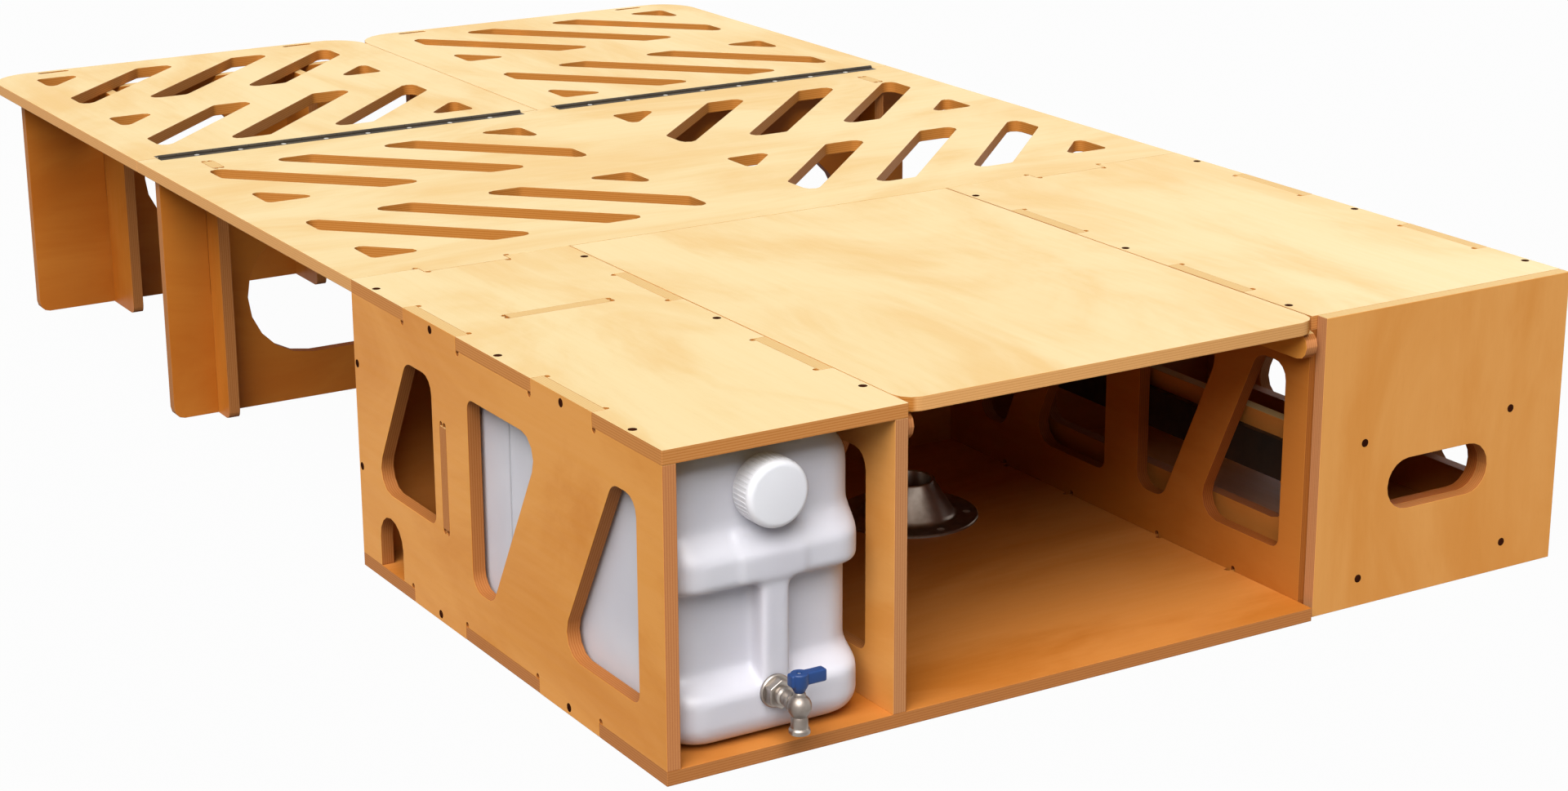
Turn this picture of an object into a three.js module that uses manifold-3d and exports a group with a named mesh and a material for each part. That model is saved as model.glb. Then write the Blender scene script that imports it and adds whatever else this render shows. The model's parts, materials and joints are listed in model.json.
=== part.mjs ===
// A camper van box in birch plywood: three bays under a flat top (a water canister, an open bay
// with a loose lid, a drawer) and behind them a fold-out bed of one fixed and two hinged boards
// on plug-in legs. Millimetres, +Z up, +X to the right, the bays open towards -Y.
import * as THREE from 'three';
import { mergeVertices } from 'three/addons/utils/BufferGeometryUtils.js';
import Module from 'manifold-3d';

const wasm = await Module();
wasm.setup();

// Driving dimensions

const box = { width: 1150, depth: 700, height: 335 };
const bed = { hingeLine: 1378, length: 2010 };
const ply = 15;
const fit = 0.3;
const overrun = 5;

// The outer bays, measured between their walls; the open bay takes the rest of the width.
const bay = { canister: 240, drawer: 327.5 };

// Finger joints: two tabs on every upright board, the same at top and bottom.
const finger = { first: 136, width: 129, gap: fit };
const dogbone = { radius: 3.5, offset: 2, sides: 8 };

const lidSize = { setBack: 10, gap: 1.5, cornerRadius: 22 };
const cleat = { height: 30, setBack: 12, length: 560 };

// Windows of the upright boards: a triangle with one upright side, its tip cut level. They stand
// in pairs, one turned over, with a slanting bar between them.
const windowSize = { tip: 47, bottom: 64, underTop: 46 };
const windowRadius = { upright: 12, acute: 25, tip: 20 };
const sideWindow = {
  front: 52, bar: 147, toPartition: 54, fromPartition: 18, toBack: 42, backBottom: 108, backTip: 63,
};
const drawerWindow = { front: 60, bar: 57, pairGap: 62, toBack: 82 };
const arch = { fromBack: 109, width: 59, height: 64, radius: 29 };

const partition = { fromBack: 233, tenonBottom: 111, tenonTop: 226, tenonLeft: 80, tenonRight: 200 };
const backTab = { width: 106 };

// The slotted bed boards: fields of diagonal slots with small triangles in their corners.
const field = {
  side: 57, middle: 70, cornerLeg: 68.9, slotWidth: 45.8, radius: 11, cornerRadius: 8, rowGap: 91,
  nearFront: 69, nearBack: 84, farFront: 54, farBack: 53,
};
const bedEdge = { gap: 1, cornerRadius: 60 };
const strapSlot = { width: 45, height: 8, fromEdge: 9, side: 74 };

const hinge = {
  side: 28, middle: 27, leafWidth: 14, leaf: 1.4, knuckleRadius: 3, pinRadius: 1.3, knuckles: 9,
  sides: 8, rise: 0.5, knuckleGap: 0.5,
};

const midLeg = {
  side: 8, toHinge: 56, openingSide: 118, web: 110, openingBottom: 62, openingUnderTop: 85,
  footRadius: 14,
};
const midStub = { side: 68, length: 93, toHinge: 2, tabStart: 5, tabLength: 38, footRadius: 10 };
const farLeg = {
  side: 24, middle: 51, toEnd: 95, openingOuter: 45, openingInner: 72, openingBottom: 100,
  openingUnderTop: 43,
};
const farStub = { side: 136, length: 177, toEnd: 2, footRadius: 10 };

const drawer = {
  setBack: 8, gap: 0.5, behind: 102, bottom: 20, top: 197, slotLength: 145, slotHeight: 58,
  slotMiddle: 130, windowBottom: 82, windowTop: 130, windowEnd: 60, windowRadius: 22,
};
const slide = {
  height: 45, middle: 156, thickness: 12.5, sheet: 1.2, front: 12, end: 7.5,
  outerLip: 8.5, midWeb: 3.5, midLip: 10, innerLip: 6.5, step: 2,
};

const canister = {
  side: 5, otherSide: 19, front: 15, behind: 12, above: 9, waist: 14, wall: 4, cornerRadius: 34,
  shoulder: 30, ribWidth: 33, ribShares: [0.2, 0.56],
};
const cap = { radius: 34.5, depth: 22, fromTop: 44, wall: 3, ribs: 24, ribDepth: 1.2, topRound: 3 };
const neck = { radius: 28, length: 18, bore: 24, sides: 20 };
const tap = {
  height: 50, reach: 30, nutRadius: 17, nutDepth: 14, nutSides: 24, bodyRadius: 9, ballRadius: 12, sides: 16,
  spoutRadius: 9, spoutLength: 28, lipRadius: 10.5, lip: 4, bore: 6, boreSides: 10,
  stemRadius: 4, stemTop: 24,
  hubRadius: 9, hubBottom: 14, leverLength: 28, leverTail: 11, leverWidth: 9,
  leverBottom: 21, leverTop: 34,
};

const socket = {
  toDivider: 202.5, toBack: 207, flangeRadius: 82.5, flange: 3, coneFoot: 56, coneTop: 30, height: 45,
  boreTop: 27, boreFoot: 24, screwCircle: 69, screwRadius: 3, screws: 6, sides: 28,
};

const colour = {
  birch: 0xe0ae6c, hinge: 0x2b2724, steel: 0xa8aaac, chrome: 0xc9c9c9,
  canister: 0xdcdce6, cap: 0xf2f2f4, lever: 0x1d4699,
};

// Places worked out from the driving dimensions

const leftDividerX = ply + bay.canister;
const rightSideX = box.width - ply;
const rightDividerX = rightSideX - bay.drawer - ply;
const underTop = box.height - ply;
const backPanelY = box.depth - ply;
const drawerBackY = drawer.setBack + ply;
const rightFrontY = drawerBackY + drawer.gap;
const fingerSpans = [
  [finger.first, finger.first + finger.width],
  [box.depth - finger.first - finger.width, box.depth - finger.first],
];
const leftTopMiddle = (leftDividerX + ply) / 2;
const rightTopMiddle = (rightDividerX + box.width) / 2;
const bedMiddle = box.width / 2;
const partitionFront = box.depth - partition.fromBack;
const windowTop = underTop - windowSize.underTop;
const drawerBoxBack = backPanelY - drawer.behind;
const canisterLength = partitionFront - canister.front - canister.behind;
const canisterHeight = underTop - ply - canister.above;
const canisterHalfWidth = (bay.canister - canister.side - canister.otherSide) / 2;
const canisterX = ply + canister.side + canisterHalfWidth;
const canisterMiddleY = canister.front + canisterLength / 2;
const tapFront = tap.reach + tap.ballRadius;
const fieldWidth = bedMiddle - field.side - field.middle;
const fieldHeight = (length, front, back) => (length - front - back - field.rowGap) / 2;
const nearFieldHeight = fieldHeight(bed.hingeLine - box.depth, field.nearFront, field.nearBack);
const farFieldHeight = fieldHeight(bed.length - bed.hingeLine, field.farFront, field.farBack);
const hingeLength = bedMiddle - hinge.side - hinge.middle;
const midLegFront = bed.hingeLine - midLeg.toHinge;
const midStubBack = bed.hingeLine - midStub.toHinge;
const midStubFront = midStubBack - midStub.length;
const midTab = [midStubFront + midStub.tabStart, midStubFront + midStub.tabStart + midStub.tabLength];
const farLegFront = bed.length - farLeg.toEnd;
const farStubBack = bed.length - farStub.toEnd;

// Solid helpers

function solidOf(geometry) {
  const bare = geometry.index ? geometry.toNonIndexed() : geometry.clone();
  bare.deleteAttribute('normal');
  bare.deleteAttribute('uv');
  const merged = mergeVertices(bare);
  const mesh = new wasm.Mesh({
    numProp: 3,
    vertProperties: new Float32Array(merged.attributes.position.array),
    triVerts: new Uint32Array(merged.index.array),
  });
  return new wasm.Manifold(mesh);
}

function geometryOf(solid) {
  const mesh = solid.getMesh();
  const geometry = new THREE.BufferGeometry();
  geometry.setAttribute('position', new THREE.BufferAttribute(mesh.vertProperties, 3));
  geometry.setIndex(new THREE.BufferAttribute(mesh.triVerts, 1));
  return geometry;
}

function block(x0, x1, y0, y1, z0, z1) {
  const geometry = new THREE.BoxGeometry(x1 - x0, y1 - y0, z1 - z0);
  geometry.translate((x0 + x1) / 2, (y0 + y1) / 2, (z0 + z1) / 2);
  return solidOf(geometry);
}

// A closed outline through the given corners, each rounded by its own radius in a few steps, or
// by as much as half of its shorter side has room for.
function outline(corners, radii, steps = 3) {
  const points = [];
  const count = corners.length;
  corners.forEach((corner, i) => {
    const here = new THREE.Vector2(...corner);
    const wanted = Array.isArray(radii) ? radii[i] : radii;
    if (wanted === 0) {
      points.push(here);
      return;
    }
    const before = new THREE.Vector2(...corners[(i + count - 1) % count]).sub(here);
    const after = new THREE.Vector2(...corners[(i + 1) % count]).sub(here);
    const room = Math.min(before.length(), after.length()) / 2;
    before.normalize();
    after.normalize();
    const half = Math.acos(before.dot(after)) / 2;
    const radius = Math.min(wanted, room * Math.tan(half));
    const middle = before.clone().add(after).normalize();
    const centre = here.clone().addScaledVector(middle, radius / Math.sin(half));
    const start = here.clone().addScaledVector(before, radius / Math.tan(half)).sub(centre);
    const turn = (Math.PI - 2 * half) * -Math.sign(before.cross(after));
    for (let step = 0; step <= steps; step += 1) {
      points.push(start.clone().rotateAround(new THREE.Vector2(), turn * step / steps).add(centre));
    }
  });
  return new THREE.Shape(points);
}

// A flat board cut from an outline: lying (XY), standing across (XZ) or standing along (YZ).
function extrude(shape, thickness) {
  return new THREE.ExtrudeGeometry(shape, { depth: thickness, bevelEnabled: false });
}

function lying(shape, z0, z1) {
  const geometry = extrude(shape, z1 - z0);
  geometry.translate(0, 0, z0);
  return solidOf(geometry);
}

function along(shape, x0, x1) {
  const geometry = extrude(shape, x1 - x0);
  geometry.rotateX(Math.PI / 2);
  geometry.rotateZ(Math.PI / 2);
  geometry.translate(x0, 0, 0);
  return solidOf(geometry);
}

function across(shape, y0, y1) {
  const geometry = extrude(shape, y1 - y0);
  geometry.rotateX(Math.PI / 2);
  geometry.translate(0, y1, 0);
  return solidOf(geometry);
}

function rod(radius, from, to, sides) {
  const start = new THREE.Vector3(...from);
  const end = new THREE.Vector3(...to);
  const span = end.clone().sub(start);
  const geometry = new THREE.CylinderGeometry(radius, radius, span.length(), sides);
  geometry.applyQuaternion(
    new THREE.Quaternion().setFromUnitVectors(new THREE.Vector3(0, 1, 0), span.clone().normalize()),
  );
  geometry.translate(...start.add(end).divideScalar(2).toArray());
  return solidOf(geometry);
}

function cut(solid, cutters) {
  return cutters.reduce((rest, cutter) => rest.subtract(cutter), solid);
}

function join(solids) {
  return solids.reduce((whole, solid) => whole.add(solid));
}

function rectangle(u0, u1, v0, v1) {
  return [[u0, v0], [u1, v0], [u1, v1], [u0, v1]];
}

const frame = new THREE.Group();
frame.name = 'camping_box';

function add(name, solid, color, roughness = 0.6, metalness = 0) {
  const material = new THREE.MeshStandardMaterial({ color, roughness, metalness });
  const mesh = new THREE.Mesh(geometryOf(solid), material);
  mesh.name = name;
  frame.add(mesh);
}

// Relief holes that a round cutter leaves in inner corners; each is a round hole through a board.
function reliefZ(x, y, z0, z1) {
  return rod(dogbone.radius, [x, y, z0 - overrun], [x, y, z1 + overrun], dogbone.sides);
}

function reliefX(y, z, x0, x1) {
  return rod(dogbone.radius, [x0 - overrun, y, z], [x1 + overrun, y, z], dogbone.sides);
}

// Openings in a lying board that take the tabs of an upright board standing at x0 to x0 + ply,
// with relief holes on the named sides of it.
function fingerMortises(x0, z0, z1, reliefSides) {
  const cutters = [];
  for (const [front, back] of fingerSpans) {
    cutters.push(block(x0 - finger.gap, x0 + ply + finger.gap, front, back, z0 - overrun, z1 + overrun));
    for (const side of reliefSides) {
      const x = side < 0 ? x0 - dogbone.offset : x0 + ply + dogbone.offset;
      cutters.push(reliefZ(x, front + dogbone.radius, z0, z1));
      cutters.push(reliefZ(x, back - dogbone.radius, z0, z1));
    }
  }
  return cutters;
}

// Upright boards

// The outline of an upright board, stepped down between its tabs at top and bottom.
function uprightBoard(x0, front, back) {
  const board = block(x0, x0 + ply, front, back, ply, underTop);
  const tabs = fingerSpans.map(([start, end]) => (
    block(x0, x0 + ply, start + finger.gap, end - finger.gap, 0, box.height)
  ));
  const reliefs = [];
  for (const [start, end] of fingerSpans) {
    for (const z of [ply + dogbone.offset, underTop - dogbone.offset]) {
      reliefs.push(reliefX(start + finger.gap - dogbone.radius, z, x0, x0 + ply));
      reliefs.push(reliefX(end - finger.gap + dogbone.radius, z, x0, x0 + ply));
    }
  }
  return cut(join([board, ...tabs]), reliefs);
}

// A triangular window: upright side at y, the slanted side towards +Y, its tip up.
function windowCorners(y, base, tip, bottom, top) {
  return [[y, bottom], [y + base, bottom], [y + tip, top], [y, top]];
}

function windowCutter(corners, x0) {
  return along(outline(corners, radii, 4), x0 - overrun, x0 + ply + overrun);
}

const radii = [windowRadius.upright, windowRadius.acute, windowRadius.tip, windowRadius.tip];
const { tip, bottom } = windowSize;

function turned(corners) {
  const low = Math.min(...corners.map(([, z]) => z));
  const high = Math.max(...corners.map(([, z]) => z));
  const front = Math.min(...corners.map(([y]) => y));
  const back = Math.max(...corners.map(([y]) => y));
  return corners.map(([y, z]) => [front + back - y, low + high - z]);
}

// Two windows between front and back, the second turned over, with a bar of this width between.
function windowPair(front, back, bar) {
  const base = back - front - tip - bar;
  return [
    windowCorners(front, base, tip, bottom, windowTop),
    turned(windowCorners(back - base, base, tip, bottom, windowTop)),
  ];
}

function canisterSideWindows(x0) {
  const { front, bar, toPartition, fromPartition, toBack, backBottom, backTip } = sideWindow;
  const start = partitionFront + ply + fromPartition;
  return [
    ...windowPair(front, partitionFront - toPartition, bar),
    windowCorners(start, box.depth - toBack - start, backTip, backBottom, windowTop),
  ].map((corners) => windowCutter(corners, x0));
}

function drawerSideWindows(x0) {
  const { front, bar, pairGap, toBack } = drawerWindow;
  const pair = (box.depth - front - pairGap - toBack) / 2;
  return [
    ...windowPair(front, front + pair, bar),
    ...windowPair(front + pair + pairGap, box.depth - toBack, bar),
  ].map((corners) => windowCutter(corners, x0));
}

// The through mortise that takes a tenon of the canister partition, and its relief holes.
function partitionMortise(x0) {
  const { tenonBottom, tenonTop } = partition;
  const cutters = [block(
    x0 - overrun, x0 + ply + overrun, partitionFront - fit, partitionFront + ply + fit,
    tenonBottom - fit, tenonTop + fit,
  )];
  for (const y of [partitionFront + dogbone.radius, partitionFront + ply - dogbone.radius]) {
    cutters.push(reliefX(y, tenonBottom - dogbone.offset, x0, x0 + ply));
    cutters.push(reliefX(y, tenonTop + dogbone.offset, x0, x0 + ply));
  }
  return cutters;
}

const archFront = box.depth - arch.fromBack;
const archOutline = outline(
  rectangle(archFront, archFront + arch.width, ply - overrun, ply + arch.height),
  [0, 0, arch.radius, arch.radius], 4,
);

add('left_side_panel', cut(uprightBoard(0, 0, box.depth), [
  ...canisterSideWindows(0),
  ...partitionMortise(0),
  along(archOutline, -overrun, ply + overrun),
]), colour.birch);

add('left_divider', cut(uprightBoard(leftDividerX, 0, backPanelY), [
  ...canisterSideWindows(leftDividerX),
  ...partitionMortise(leftDividerX),
]), colour.birch);

add('right_divider', cut(
  uprightBoard(rightDividerX, rightFrontY, backPanelY), drawerSideWindows(rightDividerX),
), colour.birch);

add('right_side_panel', cut(
  uprightBoard(rightSideX, rightFrontY, box.depth), drawerSideWindows(rightSideX),
), colour.birch);

// Boards across the box

add('back_panel', block(ply, rightSideX, backPanelY, box.depth, ply, underTop), colour.birch);

const partitionBoard = join([
  block(ply, leftDividerX, partitionFront, partitionFront + ply, ply, underTop),
  block(
    0, leftDividerX + ply, partitionFront, partitionFront + ply, partition.tenonBottom, partition.tenonTop,
  ),
  block(
    partition.tenonLeft, partition.tenonRight,
    partitionFront, partitionFront + ply, underTop - ply, box.height,
  ),
]);
add('canister_partition', partitionBoard, colour.birch);

// The bottom runs under all three bays and is cut back behind the drawer front.
add('bottom_panel', cut(block(0, box.width, 0, box.depth, 0, ply), [
  block(rightDividerX, box.width + overrun, -overrun, rightFrontY, -overrun, ply + overrun),
  ...fingerMortises(0, 0, ply, [1]),
  ...fingerMortises(leftDividerX, 0, ply, [-1, 1]),
  ...fingerMortises(rightDividerX, 0, ply, [-1, 1]),
  ...fingerMortises(rightSideX, 0, ply, [-1]),
]), colour.birch);

// Notches at the back of the top boards for the two tabs of the near bed board.
function backNotch(middle) {
  const x0 = middle - backTab.width / 2;
  const x1 = middle + backTab.width / 2;
  return [
    block(
      x0 - fit, x1 + fit, backPanelY - fit, box.depth + overrun, underTop - overrun,
      box.height + overrun,
    ),
    reliefZ(x0 + dogbone.radius, backPanelY - dogbone.offset, underTop, box.height),
    reliefZ(x1 - dogbone.radius, backPanelY - dogbone.offset, underTop, box.height),
  ];
}

function topTenonMortise() {
  const x0 = partition.tenonLeft;
  const x1 = partition.tenonRight;
  const cutters = [block(
    x0 - fit, x1 + fit, partitionFront - fit, partitionFront + ply + fit,
    underTop - overrun, box.height + overrun,
  )];
  for (const x of [x0 - dogbone.offset, x1 + dogbone.offset]) {
    for (const y of [partitionFront + dogbone.radius, partitionFront + ply - dogbone.radius]) {
      cutters.push(reliefZ(x, y, underTop, box.height));
    }
  }
  return cutters;
}

add('left_top_panel', cut(block(0, leftDividerX + ply, 0, box.depth, underTop, box.height), [
  ...fingerMortises(0, underTop, box.height, [1]),
  ...fingerMortises(leftDividerX, underTop, box.height, [-1]),
  ...backNotch(leftTopMiddle),
  ...topTenonMortise(),
]), colour.birch);

add('right_top_panel', cut(
  block(rightDividerX, box.width, rightFrontY, box.depth, underTop, box.height),
  [
    ...fingerMortises(rightDividerX, underTop, box.height, [1]),
    ...fingerMortises(rightSideX, underTop, box.height, [-1]),
    ...backNotch(rightTopMiddle),
  ],
), colour.birch);

// The lid lies between the top boards on two cleats with round front ends.
const lidCorners = rectangle(
  leftDividerX + ply + lidSize.gap, rightDividerX - lidSize.gap, lidSize.setBack, box.depth - fit,
);
add('lid', lying(
  outline(lidCorners, [lidSize.cornerRadius, lidSize.cornerRadius, 0, 0]), underTop, box.height,
), colour.birch);

const cleatCorners = rectangle(
  cleat.setBack, cleat.setBack + cleat.length, underTop - cleat.height, underTop,
);
const cleatRadius = cleat.height / 2 - fit;
const cleatOutline = outline(cleatCorners, [cleatRadius, 0, 0, cleatRadius]);
add('lid_cleat_left', along(cleatOutline, leftDividerX + ply, leftDividerX + 2 * ply), colour.birch);
add('lid_cleat_right', along(cleatOutline, rightDividerX - ply, rightDividerX), colour.birch);

// Bed boards

// The part of a rectangle's diagonal band between two lines u + v = low and u + v = high.
function diagonalBand(low, high, width, height) {
  const corners = [];
  corners.push(low > height ? [low - height, height] : [0, low]);
  corners.push(low > width ? [width, low - width] : [low, 0]);
  if (low < width && high > width) corners.push([width, 0]);
  corners.push(high > width ? [width, high - width] : [high, 0]);
  corners.push(high > height ? [high - height, height] : [0, high]);
  if (low < height && high > height) corners.push([0, height]);
  return corners;
}

// One field: three slots on the slant and a small triangle in two corners. A rise of -1 runs
// down to the right, 1 runs up to the right.
function slotField(x0, y0, height, rise) {
  const { slotWidth, radius, cornerRadius, cornerLeg: leg } = field;
  const width = fieldWidth;
  const half = slotWidth / Math.SQRT2;
  const middle = (width + height) / 2;
  const pitch = (middle + half - leg) / 2;
  const shapes = [-1, 0, 1].map((step) => {
    const at = middle + step * pitch;
    return [diagonalBand(at - half, at + half, width, height), radius];
  });
  shapes.push([[[0, 0], [leg, 0], [0, leg]], cornerRadius]);
  shapes.push([[[width, height], [width - leg, height], [width, height - leg]], cornerRadius]);
  return shapes.map(([corners, size]) => {
    const placed = corners.map(([u, v]) => [rise < 0 ? x0 + u : x0 + width - u, y0 + v]);
    return lying(outline(placed, size), underTop - overrun, box.height + overrun);
  });
}

function hingeRecess(x0) {
  return [
    block(
      x0 - fit, x0 + hingeLength + fit, bed.hingeLine - hinge.leafWidth - fit,
      bed.hingeLine + hinge.leafWidth + fit, box.height - hinge.leaf, box.height + overrun,
    ),
    block(
      x0 - fit, x0 + hingeLength + fit, bed.hingeLine - hinge.knuckleRadius - fit,
      bed.hingeLine + hinge.knuckleRadius + fit, box.height - hinge.knuckleRadius - fit,
      box.height + overrun,
    ),
  ];
}

const leftHingeX = hinge.side;
const rightHingeX = box.width - hinge.side - hingeLength;
const rightFieldX = box.width - field.side - fieldWidth;
const stubMiddles = [midStub.side, box.width - midStub.side - ply];

function nearPanel() {
  const front = box.depth + fit;
  const back = bed.hingeLine - bedEdge.gap / 2;
  const sheet = block(0, box.width, front, back, underTop, box.height);
  const tabs = [];
  const cutters = [];
  for (const middle of [leftTopMiddle, rightTopMiddle]) {
    const x0 = middle - backTab.width / 2;
    const x1 = middle + backTab.width / 2;
    tabs.push(block(x0 + fit, x1 - fit, backPanelY + fit, front + overrun, underTop, box.height));
    cutters.push(reliefZ(x0 + fit - dogbone.radius, front + dogbone.offset, underTop, box.height));
    cutters.push(reliefZ(x1 - fit + dogbone.radius, front + dogbone.offset, underTop, box.height));
  }
  for (const row of [0, 1]) {
    const y0 = box.depth + field.nearFront + row * (nearFieldHeight + field.rowGap);
    cutters.push(
      ...slotField(field.side, y0, nearFieldHeight, -1),
      ...slotField(rightFieldX, y0, nearFieldHeight, 1),
    );
  }
  for (const x of stubMiddles) {
    cutters.push(block(
      x - fit, x + ply + fit, midTab[0] - fit, midTab[1] + fit,
      underTop - overrun, box.height + overrun,
    ));
    for (const holeX of [x + dogbone.radius, x + ply - dogbone.radius]) {
      cutters.push(reliefZ(holeX, midTab[0] - dogbone.offset, underTop, box.height));
      cutters.push(reliefZ(holeX, midTab[1] + dogbone.offset, underTop, box.height));
    }
  }
  cutters.push(...hingeRecess(leftHingeX), ...hingeRecess(rightHingeX));
  return cut(join([sheet, ...tabs]), cutters);
}

function farPanel(x0, x1, direction, hingeX) {
  const front = bed.hingeLine + bedEdge.gap / 2;
  const sheet = lying(
    outline(
      rectangle(x0, x1, front, bed.length), [0, 0, bedEdge.cornerRadius, bedEdge.cornerRadius], 6,
    ),
    underTop, box.height,
  );
  const fieldX = direction > 0 ? field.side : rightFieldX;
  const cutters = [...hingeRecess(hingeX)];
  for (const row of [0, 1]) {
    const y0 = bed.hingeLine + field.farFront + row * (farFieldHeight + field.rowGap);
    cutters.push(...slotField(fieldX, y0, farFieldHeight, direction));
  }
  const y1 = bed.length - strapSlot.fromEdge;
  const sides = [strapSlot.side, bedMiddle - strapSlot.side - strapSlot.width];
  for (const side of sides) {
    const start = direction > 0 ? side : box.width - side - strapSlot.width;
    cutters.push(lying(
      outline(rectangle(start, start + strapSlot.width, y1 - strapSlot.height, y1), strapSlot.height / 3, 1),
      underTop - overrun, box.height + overrun,
    ));
  }
  return cut(sheet, cutters);
}

add('bed_near_panel', nearPanel(), colour.birch);
add('bed_far_left_panel', farPanel(0, bedMiddle - bedEdge.gap / 2, 1, leftHingeX), colour.birch);
add('bed_far_right_panel', farPanel(bedMiddle + bedEdge.gap / 2, box.width, -1, rightHingeX), colour.birch);

// Piano hinges: a leaf let into each board, their knuckles in turn on one pin.
const hingeAxisZ = box.height + hinge.rise;
const knuckleLength = hingeLength / hinge.knuckles;

function hingeLeaf(x0, side) {
  const edges = [bed.hingeLine + side * hinge.knuckleRadius / 2, bed.hingeLine + side * hinge.leafWidth];
  const pieces = [block(
    x0, x0 + hingeLength, Math.min(...edges), Math.max(...edges), box.height - hinge.leaf, box.height,
  )];
  const first = side < 0 ? 0 : 1;
  const gaps = [];
  for (let i = 0; i < hinge.knuckles; i += 1) {
    const start = x0 + i * knuckleLength;
    const ours = i % 2 === first;
    const gap = hinge.knuckleGap / 2;
    if (ours) {
      pieces.push(rod(
        hinge.knuckleRadius, [start + gap, bed.hingeLine, hingeAxisZ],
        [start + knuckleLength - gap, bed.hingeLine, hingeAxisZ], hinge.sides,
      ));
    } else {
      gaps.push(block(
        start - gap, start + knuckleLength + gap, bed.hingeLine - hinge.knuckleRadius - fit,
        bed.hingeLine + hinge.knuckleRadius + fit, hingeAxisZ - hinge.knuckleRadius - fit,
        hingeAxisZ + hinge.knuckleRadius + fit,
      ));
    }
  }
  const bore = rod(
    hinge.pinRadius + fit, [x0 - overrun, bed.hingeLine, hingeAxisZ],
    [x0 + hingeLength + overrun, bed.hingeLine, hingeAxisZ], hinge.sides,
  );
  return cut(join(pieces), [...gaps, bore]);
}

for (const [name, x0] of [['left', leftHingeX], ['right', rightHingeX]]) {
  add(`${name}_hinge_near_leaf`, hingeLeaf(x0, -1), colour.hinge, 0.45, 0.8);
  add(`${name}_hinge_far_leaf`, hingeLeaf(x0, 1), colour.hinge, 0.45, 0.8);
  add(`${name}_hinge_pin`, rod(
    hinge.pinRadius, [x0, bed.hingeLine, hingeAxisZ], [x0 + hingeLength, bed.hingeLine, hingeAxisZ],
    hinge.sides,
  ), colour.steel, 0.3, 0.9);
}

// Legs: boards across the bed, each with short boards halved into it.
const halfHeight = underTop / 2;

function lapSlot(x0, y0, y1, z0, z1) {
  return block(x0 - fit, x0 + ply + fit, y0, y1, z0, z1);
}

function midLegBoard() {
  const { side, openingSide, web, openingBottom, footRadius } = midLeg;
  const openingTop = underTop - midLeg.openingUnderTop;
  const front = midLegFront;
  const board = across(
    outline(rectangle(side, box.width - side, 0, underTop), [footRadius, footRadius, 0, 0]),
    front, front + ply,
  );
  const openingRadius = (openingTop - openingBottom) / 2 - fit;
  const cutters = [];
  const spans = [
    [openingSide, bedMiddle - web / 2],
    [bedMiddle + web / 2, box.width - openingSide],
  ];
  for (const [x0, x1] of spans) {
    cutters.push(across(
      outline(rectangle(x0, x1, openingBottom, openingTop), openingRadius, 5),
      front - overrun, front + ply + overrun,
    ));
  }
  for (const x of stubMiddles) {
    cutters.push(lapSlot(x, front - overrun, front + ply + overrun, halfHeight, underTop + overrun));
  }
  return cut(board, cutters);
}

function midStubBoard(x0) {
  const corners = rectangle(midStubFront, midStubBack, 0, underTop);
  const board = along(
    outline(corners, [midStub.footRadius, midStub.footRadius, 0, 0]), x0, x0 + ply,
  );
  const tab = block(
    x0, x0 + ply, ...midTab, underTop - overrun, box.height,
  );
  const slot = block(
    x0 - overrun, x0 + ply + overrun, midLegFront - fit, midLegFront + ply + fit, -overrun, halfHeight,
  );
  return cut(join([board, tab]), [slot]);
}

function farLegBoard(mirror) {
  const { side, middle, openingOuter, openingInner, openingBottom } = farLeg;
  const openingTop = underTop - farLeg.openingUnderTop;
  const front = farLegFront;
  const place = (x) => (mirror ? box.width - x : x);
  const span = (x0, x1) => [place(x0), place(x1)].sort((a, b) => a - b);
  const [outerStub, innerStub] = farStubPlaces(false);
  const opening = [outerStub + ply + openingOuter, innerStub - openingInner];
  const footRadius = midLeg.footRadius;
  const legTop = underTop - fit;
  const board = across(
    outline(rectangle(...span(side, bedMiddle - middle), 0, legTop), [footRadius, footRadius, 0, 0]),
    front, front + ply,
  );
  const cutters = [across(
    outline(
      rectangle(...span(...opening), openingBottom, openingTop), (opening[1] - opening[0]) / 2 - fit, 5,
    ),
    front - overrun, front + ply + overrun,
  )];
  for (const x of farStubPlaces(mirror)) {
    cutters.push(lapSlot(x, front - overrun, front + ply + overrun, halfHeight, underTop + overrun));
  }
  return cut(board, cutters);
}

function farStubPlaces(mirror) {
  const places = [farStub.side, bedMiddle - farStub.side - ply];
  return mirror ? places.map((x) => box.width - x - ply).reverse() : places;
}

function farStubBoard(x0) {
  const corners = rectangle(farStubBack - farStub.length, farStubBack, 0, underTop - fit);
  const board = along(
    outline(corners, [farStub.footRadius, farStub.footRadius, 0, 0]), x0, x0 + ply,
  );
  const slot = block(
    x0 - overrun, x0 + ply + overrun, farLegFront - fit, farLegFront + ply + fit, -overrun, halfHeight,
  );
  return cut(board, [slot]);
}

add('mid_leg_board', midLegBoard(), colour.birch);
add('mid_leg_stub_left', midStubBoard(stubMiddles[0]), colour.birch);
add('mid_leg_stub_right', midStubBoard(stubMiddles[1]), colour.birch);
for (const [name, mirror] of [['left', false], ['right', true]]) {
  add(`far_leg_board_${name}`, farLegBoard(mirror), colour.birch);
  farStubPlaces(mirror).forEach((x0, i) => {
    add(`far_leg_${name}_stub_${i + 1}`, farStubBoard(x0), colour.birch);
  });
}

// Drawer

const drawerFrontX = rightDividerX + ply / 2;
const drawerLeftX = rightDividerX + ply + slide.thickness;
const drawerRightX = rightSideX - slide.thickness;
const drawerMiddle = (drawerLeftX + drawerRightX) / 2;

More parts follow.
